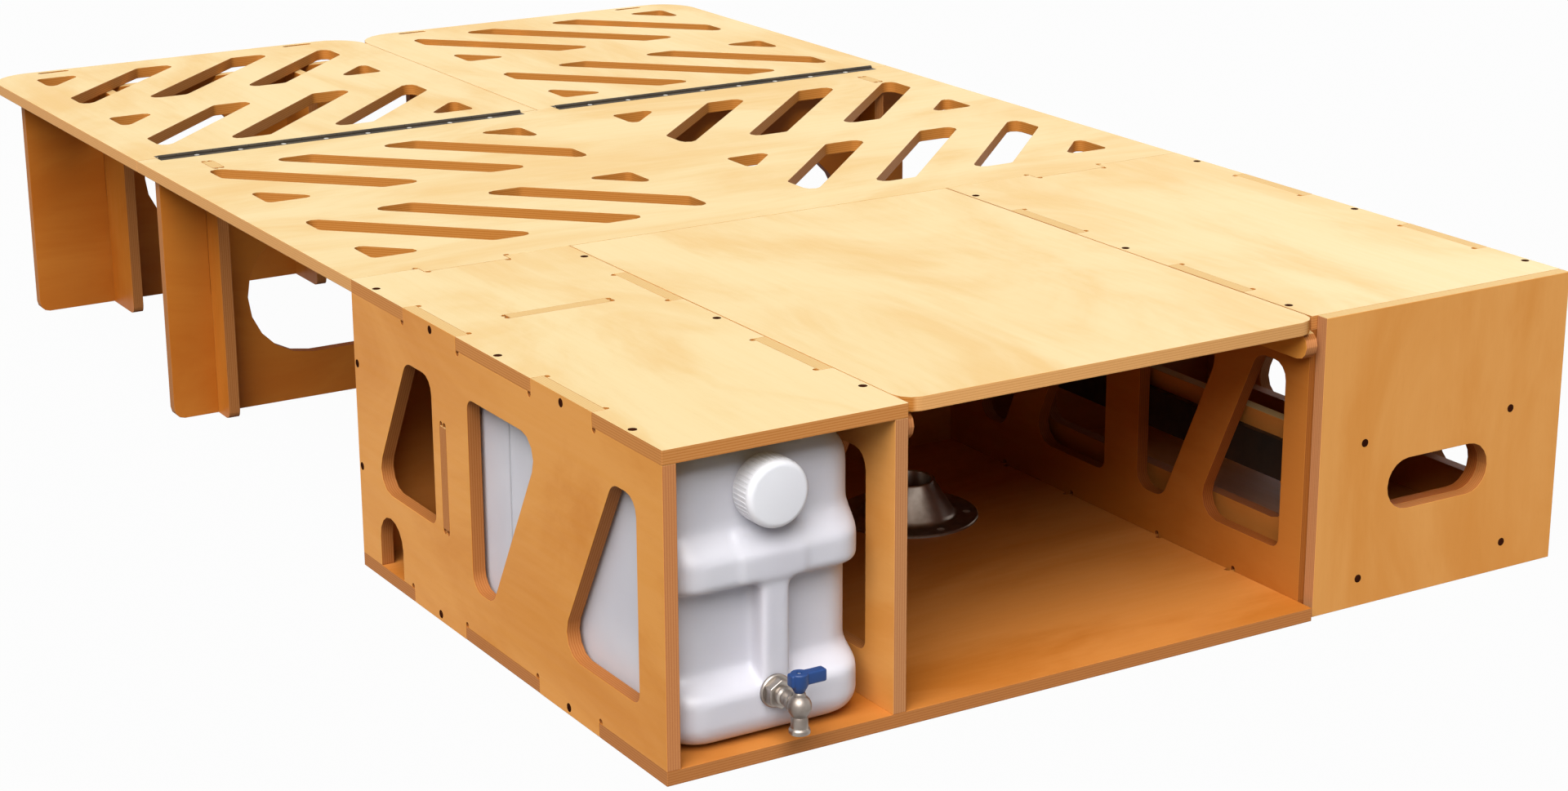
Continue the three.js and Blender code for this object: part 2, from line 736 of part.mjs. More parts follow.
const handSlot = outline(
  rectangle(
    drawerMiddle - drawer.slotLength / 2, drawerMiddle + drawer.slotLength / 2,
    drawer.slotMiddle - drawer.slotHeight / 2, drawer.slotMiddle + drawer.slotHeight / 2,
  ),
  drawer.slotHeight / 2 - fit, 5,
);

add('drawer_front', cut(
  block(drawerFrontX, box.width, drawer.setBack, drawerBackY, 0, box.height),
  [across(handSlot, drawer.setBack - overrun, drawerBackY + overrun)],
), colour.birch);

add('drawer_inner_front', cut(
  block(
    drawerLeftX + ply, drawerRightX - ply, drawerBackY, drawerBackY + ply, drawer.bottom, drawer.top,
  ),
  [across(handSlot, drawerBackY - overrun, drawerBackY + ply + overrun)],
), colour.birch);

function drawerSide(x0) {
  const windowShape = outline(
    rectangle(
      drawerBackY + drawer.windowEnd, drawerBoxBack - drawer.windowEnd,
      drawer.windowBottom, drawer.windowTop,
    ),
    drawer.windowRadius,
  );
  return cut(
    block(x0, x0 + ply, drawerBackY, drawerBoxBack, drawer.bottom, drawer.top),
    [along(windowShape, x0 - overrun, x0 + ply + overrun)],
  );
}

add('drawer_left_side', drawerSide(drawerLeftX), colour.birch);
add('drawer_right_side', drawerSide(drawerRightX - ply), colour.birch);
add('drawer_back', block(
  drawerLeftX + ply, drawerRightX - ply, drawerBoxBack - ply, drawerBoxBack, drawer.bottom, drawer.top,
), colour.birch);
add('drawer_bottom', block(
  drawerLeftX + ply, drawerRightX - ply, drawerBackY + ply, drawerBoxBack - ply,
  drawer.bottom, drawer.bottom + ply,
), colour.birch);

// Drawer slides: three nested channels of bent sheet. u is the distance from the fixed wall.
function channel(wallX, side, webAt, lipTo, halfOwn) {
  const y0 = rightFrontY + slide.front;
  const y1 = drawerBoxBack - slide.end;
  const low = slide.middle - halfOwn;
  const high = slide.middle + halfOwn;
  const xs = (u0, u1) => [wallX + side * u0, wallX + side * u1].sort((a, b) => a - b);
  const web = xs(webAt, webAt + slide.sheet);
  const lip = xs(Math.min(webAt, lipTo), Math.max(webAt + slide.sheet, lipTo));
  return join([
    block(...web, y0, y1, low, high),
    block(...lip, y0, y1, low, low + slide.sheet),
    block(...lip, y0, y1, high - slide.sheet, high),
  ]);
}

for (const [name, wallX, side] of [['left', rightDividerX + ply, 1], ['right', rightSideX, -1]]) {
  const half = slide.height / 2;
  add(`drawer_slide_outer_${name}`, channel(wallX, side, 0, slide.outerLip, half), colour.steel, 0.35, 0.9);
  add(`drawer_slide_middle_${name}`, channel(
    wallX, side, slide.midWeb, slide.midLip, half - slide.step,
  ), colour.steel, 0.35, 0.9);
  add(`drawer_slide_inner_${name}`, channel(
    wallX, side, slide.thickness - slide.sheet, slide.innerLip, half - 2 * slide.step,
  ), colour.steel, 0.35, 0.9);
}

// Water canister

// Levels of the canister from its base up, as shares of its height, with how far each level is
// drawn in: a share of the waist depth (0 on a band, 1 at the waist) and of the shoulder.
const canisterLevelShares = [
  [0, 0, 1], [0.014, 0, 0.7], [0.045, 0, 0.2], [0.085, 0, 0], [0.17, 0, 0], [0.21, 0.2, 0],
  [0.25, 1, 0], [0.5, 1, 0], [0.54, 0.2, 0], [0.58, 0, 0], [0.65, 0, 0], [0.69, 0.3, 0],
  [0.715, 0.8, 0], [0.885, 0.8, 0], [0.945, 0.8, 0.25], [0.985, 0.8, 0.65], [1, 0.8, 1],
];

function roundedRing(halfX, halfY, radius, z, steps) {
  const ring = [];
  const corners = [[1, 1, 0], [-1, 1, 1], [-1, -1, 2], [1, -1, 3]];
  for (const [sx, sy, quarter] of corners) {
    for (let i = 0; i <= steps; i += 1) {
      const angle = (quarter + i / steps) * Math.PI / 2;
      ring.push([
        canisterX + sx * (halfX - radius) + radius * Math.cos(angle),
        canisterMiddleY + sy * (halfY - radius) + radius * Math.sin(angle),
        z,
      ]);
    }
  }
  return ring;
}

// Skins a closed solid over a stack of rings with equal numbers of points.
function loft(rings) {
  const count = rings[0].length;
  const positions = rings.flat(2);
  const index = [];
  for (let level = 0; level < rings.length - 1; level += 1) {
    for (let i = 0; i < count; i += 1) {
      const a = level * count + i;
      const b = level * count + (i + 1) % count;
      index.push(a, b, b + count, a, b + count, a + count);
    }
  }
  const last = (rings.length - 1) * count;
  for (let i = 1; i < count - 1; i += 1) {
    index.push(0, i + 1, i, last, last + i, last + i + 1);
  }
  const geometry = new THREE.BufferGeometry();
  geometry.setAttribute('position', new THREE.Float32BufferAttribute(positions, 3));
  geometry.setIndex(index);
  return solidOf(geometry);
}

function canisterShell(inset, steps) {
  const height = canisterHeight - 2 * inset;
  const rings = canisterLevelShares.map(([level, waist, shoulder]) => {
    const drawn = waist * canister.waist + shoulder * canister.shoulder + inset;
    return roundedRing(
      canisterHalfWidth - drawn, canisterLength / 2 - drawn,
      canister.cornerRadius - inset, ply + fit + inset + level * height, steps,
    );
  });
  return loft(rings);
}

const neckZ = ply + canisterHeight - cap.fromTop;
const tapZ = ply + tap.height;
const upperFaceY = canister.front + canister.waist;
const ribSpan = canister.ribShares.map((share) => ply + share * canisterHeight);
const rib = across(
  outline(
    rectangle(canisterX - canister.ribWidth / 2, canisterX + canister.ribWidth / 2, ...ribSpan),
    canister.ribWidth / 4, 1,
  ),
  canister.front, upperFaceY + canister.wall / 2,
);
const throughFront = canister.front + canister.cornerRadius;
const neckTube = rod(
  neck.radius, [canisterX, upperFaceY - neck.length, neckZ], [canisterX, upperFaceY, neckZ], neck.sides,
);
const neckBore = rod(
  neck.bore, [canisterX, -overrun, neckZ], [canisterX, throughFront, neckZ], neck.sides,
);
const tapBore = rod(
  tap.bore, [canisterX, -overrun, tapZ], [canisterX, throughFront, tapZ], tap.boreSides,
);
add('canister_body', cut(
  join([canisterShell(0, 4), rib, neckTube]), [canisterShell(canister.wall, 2), neckBore, tapBore],
), colour.canister, 0.45);

// Screw cap: a cup with a ribbed rim that closes over the neck. Its hollow is wide enough that the
// neck's facets clear it at every turn.
const capBack = upperFaceY - canister.waist / 4;
const capFront = capBack - cap.depth;

function capOutline() {
  const shape = new THREE.Shape();
  const steps = cap.ribs * 4;
  for (let i = 0; i < steps; i += 1) {
    const radius = cap.radius - (i % 4 < 2 ? 0 : cap.ribDepth);
    const angle = i / steps * 2 * Math.PI;
    const x = canisterX + radius * Math.cos(angle);
    const z = neckZ + radius * Math.sin(angle);
    if (i === 0) shape.moveTo(x, z);
    else shape.lineTo(x, z);
  }
  shape.closePath();
  return shape;
}

const capRim = across(capOutline(), capFront + cap.topRound, capBack);
const capFace = cap.radius - cap.ribDepth;
const capTop = new THREE.LatheGeometry([
  [0, 0], [capFace - cap.topRound, 0], [capFace, cap.topRound],
  [capFace, cap.topRound + cap.wall / 2], [0, cap.topRound + cap.wall / 2],
].map(([r, y]) => new THREE.Vector2(r, y)), cap.ribs);
capTop.translate(canisterX, capFront, neckZ);
const capHollow = rod(
  (neck.radius + fit) / Math.cos(Math.PI / neck.sides),
  [canisterX, capFront + cap.wall + cap.topRound, neckZ], [canisterX, capBack + overrun, neckZ],
  neck.sides,
);
add('canister_cap', cut(join([capRim, solidOf(capTop)]), [capHollow]), colour.cap, 0.5);

// Ball tap: a nut against the canister, the body with its spout, a stem and a lever.
const tapY = -tap.reach;
const nutFront = canister.front - tap.nutDepth;
const tapAxis = (y, z = tapZ) => [canisterX, y, z];
add('tap_nut', cut(
  rod(tap.nutRadius, tapAxis(canister.front - fit), tapAxis(nutFront), tap.nutSides),
  [rod(tap.bodyRadius + fit, tapAxis(canister.front + overrun), tapAxis(nutFront - overrun), tap.sides)],
), colour.chrome, 0.25, 0.9);

const ball = new THREE.SphereGeometry(tap.ballRadius, tap.sides, tap.boreSides);
ball.rotateX(Math.PI / 2);
ball.translate(...tapAxis(tapY));
const spoutEnd = tapZ - tap.spoutLength;
add('tap_body', cut(join([
  rod(tap.bodyRadius, tapAxis(canister.front - fit), tapAxis(tapY), tap.sides),
  solidOf(ball),
  rod(tap.spoutRadius, tapAxis(tapY), tapAxis(tapY, spoutEnd), tap.sides),
  rod(tap.lipRadius, tapAxis(tapY, spoutEnd + tap.lip), tapAxis(tapY, spoutEnd), tap.sides),
]), [
  rod(tap.bore, tapAxis(tapY), tapAxis(tapY, spoutEnd - overrun), tap.boreSides),
  rod(tap.bore, tapAxis(canister.front + overrun), tapAxis(tapY), tap.boreSides),
]), colour.chrome, 0.25, 0.9);

add('tap_stem', rod(
  tap.stemRadius, tapAxis(tapY, tapZ + tap.ballRadius + fit), tapAxis(tapY, tapZ + tap.stemTop),
  tap.boreSides,
), colour.chrome, 0.25, 0.9);

const leverHub = rod(
  tap.hubRadius, tapAxis(tapY, tapZ + tap.hubBottom), tapAxis(tapY, tapZ + tap.leverTop), tap.sides,
);
const leverArm = lying(
  outline(
    rectangle(
      canisterX - tap.leverTail, canisterX + tap.leverLength,
      tapY - tap.leverWidth / 2, tapY + tap.leverWidth / 2,
    ),
    tap.leverWidth / 4, 1,
  ),
  tapZ + tap.leverBottom, tapZ + tap.leverTop,
);
add('tap_lever', cut(join([leverHub, leverArm]), [rod(
  tap.stemRadius + fit, tapAxis(tapY, tapZ), tapAxis(tapY, tapZ + tap.stemTop + fit), tap.boreSides,
)]), colour.lever, 0.4);

// Table leg socket: a flange on the bay floor with a cone that takes the table's leg.
const socketPoints = [
  [socket.boreFoot, 0], [socket.flangeRadius, 0], [socket.flangeRadius, socket.flange],
  [socket.coneFoot, socket.flange], [socket.coneTop, socket.height], [socket.boreTop, socket.height],
  [socket.boreFoot, 0],
].map(([r, z]) => new THREE.Vector2(r, z));
const socketTurned = new THREE.LatheGeometry(socketPoints, socket.sides);
socketTurned.rotateX(Math.PI / 2);
const socketX = rightDividerX - socket.toDivider;
const socketY = backPanelY - socket.toBack;
socketTurned.translate(socketX, socketY, ply);
const socketHoles = [];
for (let i = 0; i < socket.screws; i += 1) {
  const angle = (i + 0.5) / socket.screws * 2 * Math.PI;
  const x = socketX + socket.screwCircle * Math.cos(angle);
  const y = socketY + socket.screwCircle * Math.sin(angle);
  socketHoles.push(rod(
    socket.screwRadius, [x, y, ply - overrun], [x, y, ply + socket.flange + overrun], dogbone.sides,
  ));
}
add('table_leg_socket', cut(solidOf(socketTurned), socketHoles), colour.chrome, 0.2, 0.9);

// The origin lies under the middle of the whole part, on the ground.
frame.position.set(-box.width / 2, -(bed.length - tapFront) / 2, 0);
const part = new THREE.Group();
part.add(frame);

export default part;
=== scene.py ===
# %% [markdown]
# # A camping box with a fold-out bed
# The real object is birch plywood, cut on a router and put together with finger joints and
# screws. The frame that is loaded here has every board, hinge and slide at its real size and
# place. The boards could be modelled again from those sizes, but then a joint could drift from
# its slot. So they keep the frame's shapes and only get soft edges and a finish. The moulded
# and turned pieces are modelled once more, with smooth surfaces, and they take their sizes and
# places from the frame wherever it has them.

# %% Load the frame
import json
import math

import bmesh
import bpy
from mathutils import Matrix, Vector

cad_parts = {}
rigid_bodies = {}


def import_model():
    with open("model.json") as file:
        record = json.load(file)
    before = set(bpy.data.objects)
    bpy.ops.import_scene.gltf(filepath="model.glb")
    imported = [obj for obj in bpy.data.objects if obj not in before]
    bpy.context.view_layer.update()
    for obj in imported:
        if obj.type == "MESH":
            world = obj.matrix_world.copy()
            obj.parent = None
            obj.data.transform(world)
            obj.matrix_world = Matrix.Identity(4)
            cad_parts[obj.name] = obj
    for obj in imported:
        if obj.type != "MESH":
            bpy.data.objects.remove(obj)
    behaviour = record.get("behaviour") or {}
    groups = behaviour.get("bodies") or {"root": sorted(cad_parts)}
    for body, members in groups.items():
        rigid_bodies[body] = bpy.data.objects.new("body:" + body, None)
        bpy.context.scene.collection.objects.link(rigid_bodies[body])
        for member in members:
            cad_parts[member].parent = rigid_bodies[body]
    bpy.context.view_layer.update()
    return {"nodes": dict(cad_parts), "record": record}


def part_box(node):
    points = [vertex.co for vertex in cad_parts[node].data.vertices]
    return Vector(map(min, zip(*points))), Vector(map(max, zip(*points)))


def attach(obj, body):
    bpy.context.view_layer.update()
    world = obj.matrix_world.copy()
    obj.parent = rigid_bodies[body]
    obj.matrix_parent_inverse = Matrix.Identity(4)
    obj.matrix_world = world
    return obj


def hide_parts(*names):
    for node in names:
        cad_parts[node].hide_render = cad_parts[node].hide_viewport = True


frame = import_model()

MM = 0.001
print("nodes in the frame:", len(frame["nodes"]))

# %% [markdown]
# ## Selecting and applying
# Every new piece is modelled as by hand: a primitive is shaped in edit mode and finished with
# modifiers. Operators act on all that is selected, and the frame leaves its own pieces
# selected, so `start` clears the selection before each new piece. A modifier could stay live,
# but an applied one leaves a plain mesh that the next step can work on. `settle` puts the
# place, turn and size of a piece into its mesh, as they are in the frame's pieces.

# %% Selecting and applying
def start():
    if bpy.context.mode != "OBJECT":
        bpy.ops.object.mode_set(mode="OBJECT")
    bpy.ops.object.select_all(action="DESELECT")


def only(piece):
    start()
    piece.select_set(True)
    bpy.context.view_layer.objects.active = piece


def settle(piece, name):
    """Names a piece and puts its place, turn and size into its mesh."""
    only(piece)
    piece.name = piece.data.name = name
    bpy.ops.object.transform_apply(location=True, rotation=True, scale=True)
    return piece


def modify(piece, kind, **settings):
    """Adds a modifier with these settings and applies it."""
    only(piece)
    modifier = piece.modifiers.new(kind.lower(), kind)
    for key, value in settings.items():
        setattr(modifier, key, value)
    bpy.ops.object.modifier_apply(modifier=modifier.name)


def shade(piece, degrees):
    """Shades smoothly over all edges that bend less than this, so the sharper ones stay crisp."""
    only(piece)
    bpy.ops.object.shade_smooth_by_angle(angle=math.radians(degrees))
    return piece


start()
print("pieces selected at the start:", len(bpy.context.selected_objects))

# %% [markdown]
# ## The camera
# The camera stands where the photograph was taken from, so a render lies over the photograph
# line by line. It could be placed by eye, but its place, turn and lens were worked out from the
# straight edges of the box, which is far closer. It looks down over the front left corner of the
# box with a long lens.

# %% Camera
CAMERA_PLACE = (-1.8344, -3.2658, 1.2097)
CAMERA_AZIMUTH = -31.35
CAMERA_ELEVATION = 17.53
CAMERA_ROLL = -0.264
CAMERA_LENS = 69.28
CAMERA_SENSOR = 36
CAMERA_REACH = 60

camera = bpy.data.objects.new("camera", bpy.data.cameras.new("camera"))
bpy.context.scene.collection.objects.link(camera)
camera.data.lens = CAMERA_LENS
camera.data.sensor_width = CAMERA_SENSOR
camera.data.clip_end = CAMERA_REACH
turn = Matrix.Rotation(math.radians(CAMERA_AZIMUTH), 4, "Z")
tilt = Matrix.Rotation(math.radians(90 - CAMERA_ELEVATION), 4, "X")
roll = Matrix.Rotation(math.radians(CAMERA_ROLL), 4, "Z")
camera.matrix_world = Matrix.Translation(CAMERA_PLACE) @ turn @ tilt @ roll
bpy.context.scene.camera = camera
print("camera at", tuple(round(x, 3) for x in camera.location))

# %% [markdown]
# ## Nodes for the finishes
# A finish is a small network of shader nodes. They could be placed and linked one by one, as in
# the node editor. Here `add_node` does both at once: it adds a node, links whatever is itself a
# socket and writes in every other value. The other helpers are the few nodes that come up again
# and again: a sum, a mix of two colours or values, a mask with soft ends, and noise.

# %% Node helpers
def add_node(tree, kind, inputs=None, **settings):
    made = tree.nodes.new(kind)
    for key, value in settings.items():
        setattr(made, key, value)
    for socket, value in (inputs or {}).items():
        if isinstance(value, bpy.types.NodeSocket):
            tree.links.new(value, made.inputs[socket])
        else:
            made.inputs[socket].default_value = value
    return made


def math_node(tree, operation, first, second=0.0):
    return add_node(tree, "ShaderNodeMath", {0: first, 1: second}, operation=operation).outputs[0]


def mix_colour(tree, share, first, second):
    return add_node(
        tree, "ShaderNodeMix", {0: share, 6: first, 7: second}, data_type="RGBA",
    ).outputs[2]


def mix_value(tree, share, first, second):
    return add_node(
        tree, "ShaderNodeMix", {0: share, 2: first, 3: second}, data_type="FLOAT",
    ).outputs[0]


def stretch(tree, value, low, high, to_low=0.0, to_high=1.0):
    """Maps a range of a mask onto another, with a soft start and end."""
    return add_node(
        tree, "ShaderNodeMapRange",
        {"Value": value, "From Min": low, "From Max": high, "To Min": to_low, "To Max": to_high},
        interpolation_type="SMOOTHSTEP",
    ).outputs["Result"]


def noise(tree, place, waves, detail=2.0, roughness=0.5, distortion=0.0):
    """Noise with so many waves in a metre along each axis."""
    scaled = add_node(tree, "ShaderNodeVectorMath", {0: place, 1: waves}, operation="MULTIPLY")
    return add_node(
        tree, "ShaderNodeTexNoise",
        {"Vector": scaled.outputs[0], "Scale": 1.0, "Detail": detail, "Roughness": roughness,
         "Distortion": distortion},
    ).outputs["Fac"]


print("helpers for nodes: a node, a sum, two mixes, a stretch and noise")

# %% [markdown]
# ### Birch veneer
# The faces of the boards are rotary-cut birch: broad soft clouds where the knife followed the
# rings, fine streaks along the grain, and short pores. A picture of veneer could be laid on, but
# it would repeat and stop at an edge. Noise that is drawn out along the grain never does. All
# boards share this figure, so it is a node group. It takes a place on the board, with X along
# the grain, and gives three masks, so that a finish only has to choose colours.

# %% Veneer group
CLOUD_WAVES, CLOUD_SPAN = (2.6, 6.0, 6.0), (0.38, 0.70)
STREAK_WAVES, STREAK_SPAN = (4.0, 110.0, 110.0), (0.38, 0.66)
PORE_WAVES, PORE_SPAN = (60.0, 1100.0, 1100.0), (0.60, 0.72)


def new_group(name, *masks):
    """A node group that takes a place and gives masks: the group, its place and its output."""
    group = bpy.data.node_groups.new(name, "ShaderNodeTree")
    group.interface.new_socket("Place", in_out="INPUT", socket_type="NodeSocketVector")
    for mask in masks:
        group.interface.new_socket(mask, in_out="OUTPUT", socket_type="NodeSocketFloat")
    place = group.nodes.new("NodeGroupInput").outputs["Place"]
    return group, place, group.nodes.new("NodeGroupOutput")


VENEER, place, veneer_out = new_group("veneer_figure", "Clouds", "Streaks", "Pores")
clouds = noise(VENEER, place, CLOUD_WAVES, detail=5.0, roughness=0.6, distortion=0.8)
streaks = noise(VENEER, place, STREAK_WAVES, detail=4.0, roughness=0.6)
pores = noise(VENEER, place, PORE_WAVES, detail=1.0)
VENEER.links.new(stretch(VENEER, clouds, *CLOUD_SPAN), veneer_out.inputs["Clouds"])
VENEER.links.new(stretch(VENEER, streaks, *STREAK_SPAN), veneer_out.inputs["Streaks"])
VENEER.links.new(stretch(VENEER, pores, *PORE_SPAN), veneer_out.inputs["Pores"])
print("veneer group has", len(VENEER.nodes), "nodes")

# %% [markdown]
# ### The cut edge
# A cut edge shows the plies: eleven veneers, every second one with its end grain out, and darker
# glue lines between them. Each ply could be a thin board of its own, but the lines follow from
# the depth in the board alone, so a second group draws them. A slow noise makes them wander as
# they do where veneers overlap, and a fine one is the burr that the router leaves.

# %% Ply group
PLY_COUNT = 11
BOARD_THICKNESS = 15 * MM
WANDER_WAVES, WANDER = (9.0, 9.0, 30.0), 0.5
END_GRAIN_SPAN = (0.35, 0.65)
GLUE_SPAN = (0.16, 0.04)
BURR_WAVES = (700.0, 700.0, 260.0)

PLIES, place, plies_out = new_group("ply_layers", "End grain", "Glue", "Burr")
depth = add_node(PLIES, "ShaderNodeSeparateXYZ", {0: place}).outputs["Z"]
wander = math_node(PLIES, "MULTIPLY", noise(PLIES, place, WANDER_WAVES), WANDER)
level = math_node(PLIES, "MULTIPLY", depth, PLY_COUNT / BOARD_THICKNESS)
level = math_node(PLIES, "ADD", level, wander)
odd_ply = math_node(PLIES, "PINGPONG", level, 1.0)
glue_line = math_node(PLIES, "PINGPONG", level, 0.5)
PLIES.links.new(stretch(PLIES, odd_ply, *END_GRAIN_SPAN), plies_out.inputs["End grain"])
PLIES.links.new(stretch(PLIES, glue_line, *GLUE_SPAN), plies_out.inputs["Glue"])
PLIES.links.new(noise(PLIES, place, BURR_WAVES), plies_out.inputs["Burr"])
print("ply group has", len(PLIES.nodes), "nodes")

# %% [markdown]
# ### Colours as they are seen
# A screen colour from 0 to 255 isn't what a shader takes, so `tint` turns it into linear values.
# Under the lamps at the end of this file a lacquered board also gets a little white gloss, and a
# board that lies face up gets about half as much light again as an upright one. Each colour
# could be tried until it looks right. `seen_as` takes gloss and light off by a sum instead, so
# the tones of birch are written as they are seen.

# %% Colours
SHEEN = 0.035
TOP_LIGHT = 1.53
SIDE_LIGHT = 1.0
DARKEST = 0.01


def tint(red, green, blue):
    """A screen colour as the linear values that a shader takes."""
    shares = [part / 255 for part in (red, green, blue)]
    linear = [s / 12.92 if s <= 0.04 else ((s + 0.055) / 1.055) ** 2.4 for s in shares]
    return (*linear, 1.0)


def seen_as(red, green, blue, light=SIDE_LIGHT):
    """The finish that looks like this colour under the lamps, once gloss has added its share."""
    parts = [max((part - SHEEN) / light, DARKEST) for part in tint(red, green, blue)[:3]]
    return (*parts, 1.0)


print("a board seen as mid grey is painted", tuple(round(x, 3) for x in seen_as(128, 128, 128)))

# %% [markdown]
# ### Tones of birch
# The boards that lie face up are pale under their clear lacquer. The upright boards get a warmer, more
# orange tone, which is partly painted shade: sides out of the light look more saturated. Those inside the
# bays get a redder and darker tone still, which is painted shade of the bays.
# One tone for all would be simpler, but then the box looks cut from one block. The outer edges of a board
# were sanded and are only a little browner than its face. The edges of the windows and slots were left as
# the router cut them, and they are the darkest, partly from the cut and partly as painted shade inside
# it. An outer edge that faces up, such as the tip of a finger joint, is painted almost as pale as the
# top, which is painted light from above.

# %% Birch tones
# Painted light: outer edges that face up are painted pale like the lit top.
UPPER_EDGE = (seen_as(248, 212, 150, TOP_LIGHT), seen_as(238, 196, 132, TOP_LIGHT))
TONES = {
    "pale": {
        "face": (seen_as(254, 228, 172, TOP_LIGHT), seen_as(247, 207, 140, TOP_LIGHT)),
        "streak": seen_as(240, 202, 138, TOP_LIGHT),
        "outer": (seen_as(226, 173, 116), seen_as(216, 161, 105)),
        "inner": (seen_as(198, 138, 80), seen_as(184, 122, 68)),
        "glue": seen_as(150, 96, 54),
    },
    # Painted shade: the warm tone is partly the saturated look of upright sides out of the light.
    "warm": {
        "face": (seen_as(222, 156, 86), seen_as(208, 138, 70)),
        "streak": seen_as(192, 123, 58),
        "outer": (seen_as(206, 144, 98), seen_as(194, 131, 88)),
        "inner": (seen_as(175, 119, 78), seen_as(160, 105, 67)),
        "glue": seen_as(132, 80, 44),
    },
    # Painted shade: the deep tone darkens and reddens the boards inside the bays.
    "deep": {
        "face": (seen_as(196, 130, 76), seen_as(182, 115, 65)),
        "streak": seen_as(168, 98, 54),
        "outer": (seen_as(192, 133, 86), seen_as(180, 120, 76)),
        "inner": (seen_as(156, 98, 54), seen_as(138, 82, 44)),
        "glue": seen_as(118, 70, 38),
    },
}
print("main tones:", ", ".join(TONES))

# %% [markdown]
# Some boards fall between those tones. The rims of the two tops are browner than the bed's. The drawer
# front and the left divider are lighter and less orange, which is a painted sheen. The wall of the open
# bay and the legs are darker, which is painted shade of the bay and of the space under the bed. Each
# could have a whole table of its own, but it only changes a colour or two, so it starts as a copy of the
# nearest tone.

# %% Tones between
TONES["top"] = {**TONES["pale"], "outer": (seen_as(208, 147, 93), seen_as(195, 132, 80))}
# Painted sheen: the front tone is lighter and less orange, standing in for gloss these faces don't catch.
TONES["front"] = {
    **TONES["warm"], "face": (seen_as(218, 157, 94), seen_as(210, 145, 82)),
    "outer": (seen_as(200, 146, 104), seen_as(188, 132, 92)),
}
# Painted shade: the bay tone darkens the wall of the open bay.
TONES["bay"] = {
    **TONES["deep"], "face": (seen_as(188, 122, 70), seen_as(174, 108, 59)),
    "outer": (seen_as(164, 108, 66), seen_as(152, 96, 58)),
}
# Painted shade: the leg tone darkens the legs under the bed.
TONES["leg"] = {**TONES["deep"], "face": (seen_as(190, 122, 66), seen_as(178, 108, 56))}
BOARD_TONES = {
    "pale": ["lid", "bed_near_panel", "bed_far_left_panel", "bed_far_right_panel"],
    "top": ["left_top_panel", "right_top_panel"],
    "front": ["drawer_front", "left_divider"],
    "bay": ["right_divider"],
    "deep": [
        "bottom_panel", "back_panel", "canister_partition", "drawer_left_side",
        "drawer_right_side", "drawer_inner_front", "drawer_back", "drawer_bottom",
    ],
}
print("boards with a tone of their own:", sum(len(nodes) for nodes in BOARD_TONES.values()))

# %% [markdown]
# ### Where on a board
# The veneer lies differently on every board. An unwrapped surface could tell how, but the boards
# are flat and square, so the object's own coordinates do. They are counted from the board's
# corner and turned so that X runs along the grain and Z through the board. Masks then tell the
# flat face from the edge, the outer edge from a cut inside the outline, and the outer edge that
# faces up.

# %% Place and masks
FACE_TURN = (0.55, 0.85)
UPWARD_TURN = (0.6, 0.9)
OUTER_BAND = 1.5 * MM
FIGURE_STEP = 1.7


def board_axes(node, grain=None):
    """Which axes run along the grain, across it and through the board."""
    low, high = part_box(node)
    size = high - low
    through = min(range(3), key=lambda axis: size[axis])
    across, along = sorted((a for a in range(3) if a != through), key=lambda axis: size[axis])
    if grain is not None and grain != along:
        across, along = along, across
    return along, across, through


def board_masks(tree, coordinates, node, number, grain):
    """The place on a board, and its masks: on the face, on an outer edge, on one that faces up."""
    along, across, through = board_axes(node, grain)
    low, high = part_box(node)
    local = add_node(
        tree, "ShaderNodeVectorMath", {0: coordinates["Object"], 1: low}, operation="SUBTRACT",
    ).outputs[0]
    parts = add_node(tree, "ShaderNodeSeparateXYZ", {0: local}).outputs
    shifted = math_node(tree, "ADD", parts[along], number * FIGURE_STEP)
    place = add_node(
        tree, "ShaderNodeCombineXYZ", {"X": shifted, "Y": parts[across], "Z": parts[through]},
    ).outputs[0]

    normals = add_node(tree, "ShaderNodeSeparateXYZ", {0: coordinates["Normal"]}).outputs
    on_face = stretch(tree, math_node(tree, "ABSOLUTE", normals[through]), *FACE_TURN)
    upwards = stretch(tree, normals["Z"], *UPWARD_TURN)
    margin = (high - low)[along]
    for axis in (along, across):
        margin = math_node(tree, "MINIMUM", margin, parts[axis])
        far_side = math_node(tree, "SUBTRACT", (high - low)[axis], parts[axis])
        margin = math_node(tree, "MINIMUM", margin, far_side)
    outer = stretch(tree, margin, OUTER_BAND, 2 * OUTER_BAND, 1.0, 0.0)
    # The last mask, outer edges that face up, carries painted light from above.
    return place, on_face, outer, math_node(tree, "MULTIPLY", outer, upwards)


print("the lid's axes, along, across and through:", board_axes("lid", 1))

# %% [markdown]
# ### Colours of face and edge
# On the face the clouds choose between two near colours, and streaks and pores only just darken it,
# because lacquered birch is a calm wood. On the edge the plies choose between two colours of their own,
# first for a raw cut, which is darker partly as painted shade, then for a sanded outer edge, and then for
# an outer edge that faces up, which gets paler colours as painted light from above. Glue and burr lie
# over all of them, fainter on the outer edges that face up.
# The masks could switch between whole shaders, but mixing colours keeps one shader for the
# whole board.

# %% Face and edge colours
STREAK_SHARE = 0.04
PORE_SHARE = 0.04
GLUE_SHARES = (0.28, 0.12)
BURR_SHARES = (0.15, 0.04)


def face_colour(tree, figure, colours):
    colour = mix_colour(tree, figure["Clouds"], *colours["face"])
    streaks = math_node(tree, "MULTIPLY", figure["Streaks"], STREAK_SHARE)
    colour = mix_colour(tree, streaks, colour, colours["streak"])
    pores = math_node(tree, "MULTIPLY", figure["Pores"], PORE_SHARE)
    return mix_colour(tree, pores, colour, colours["glue"])


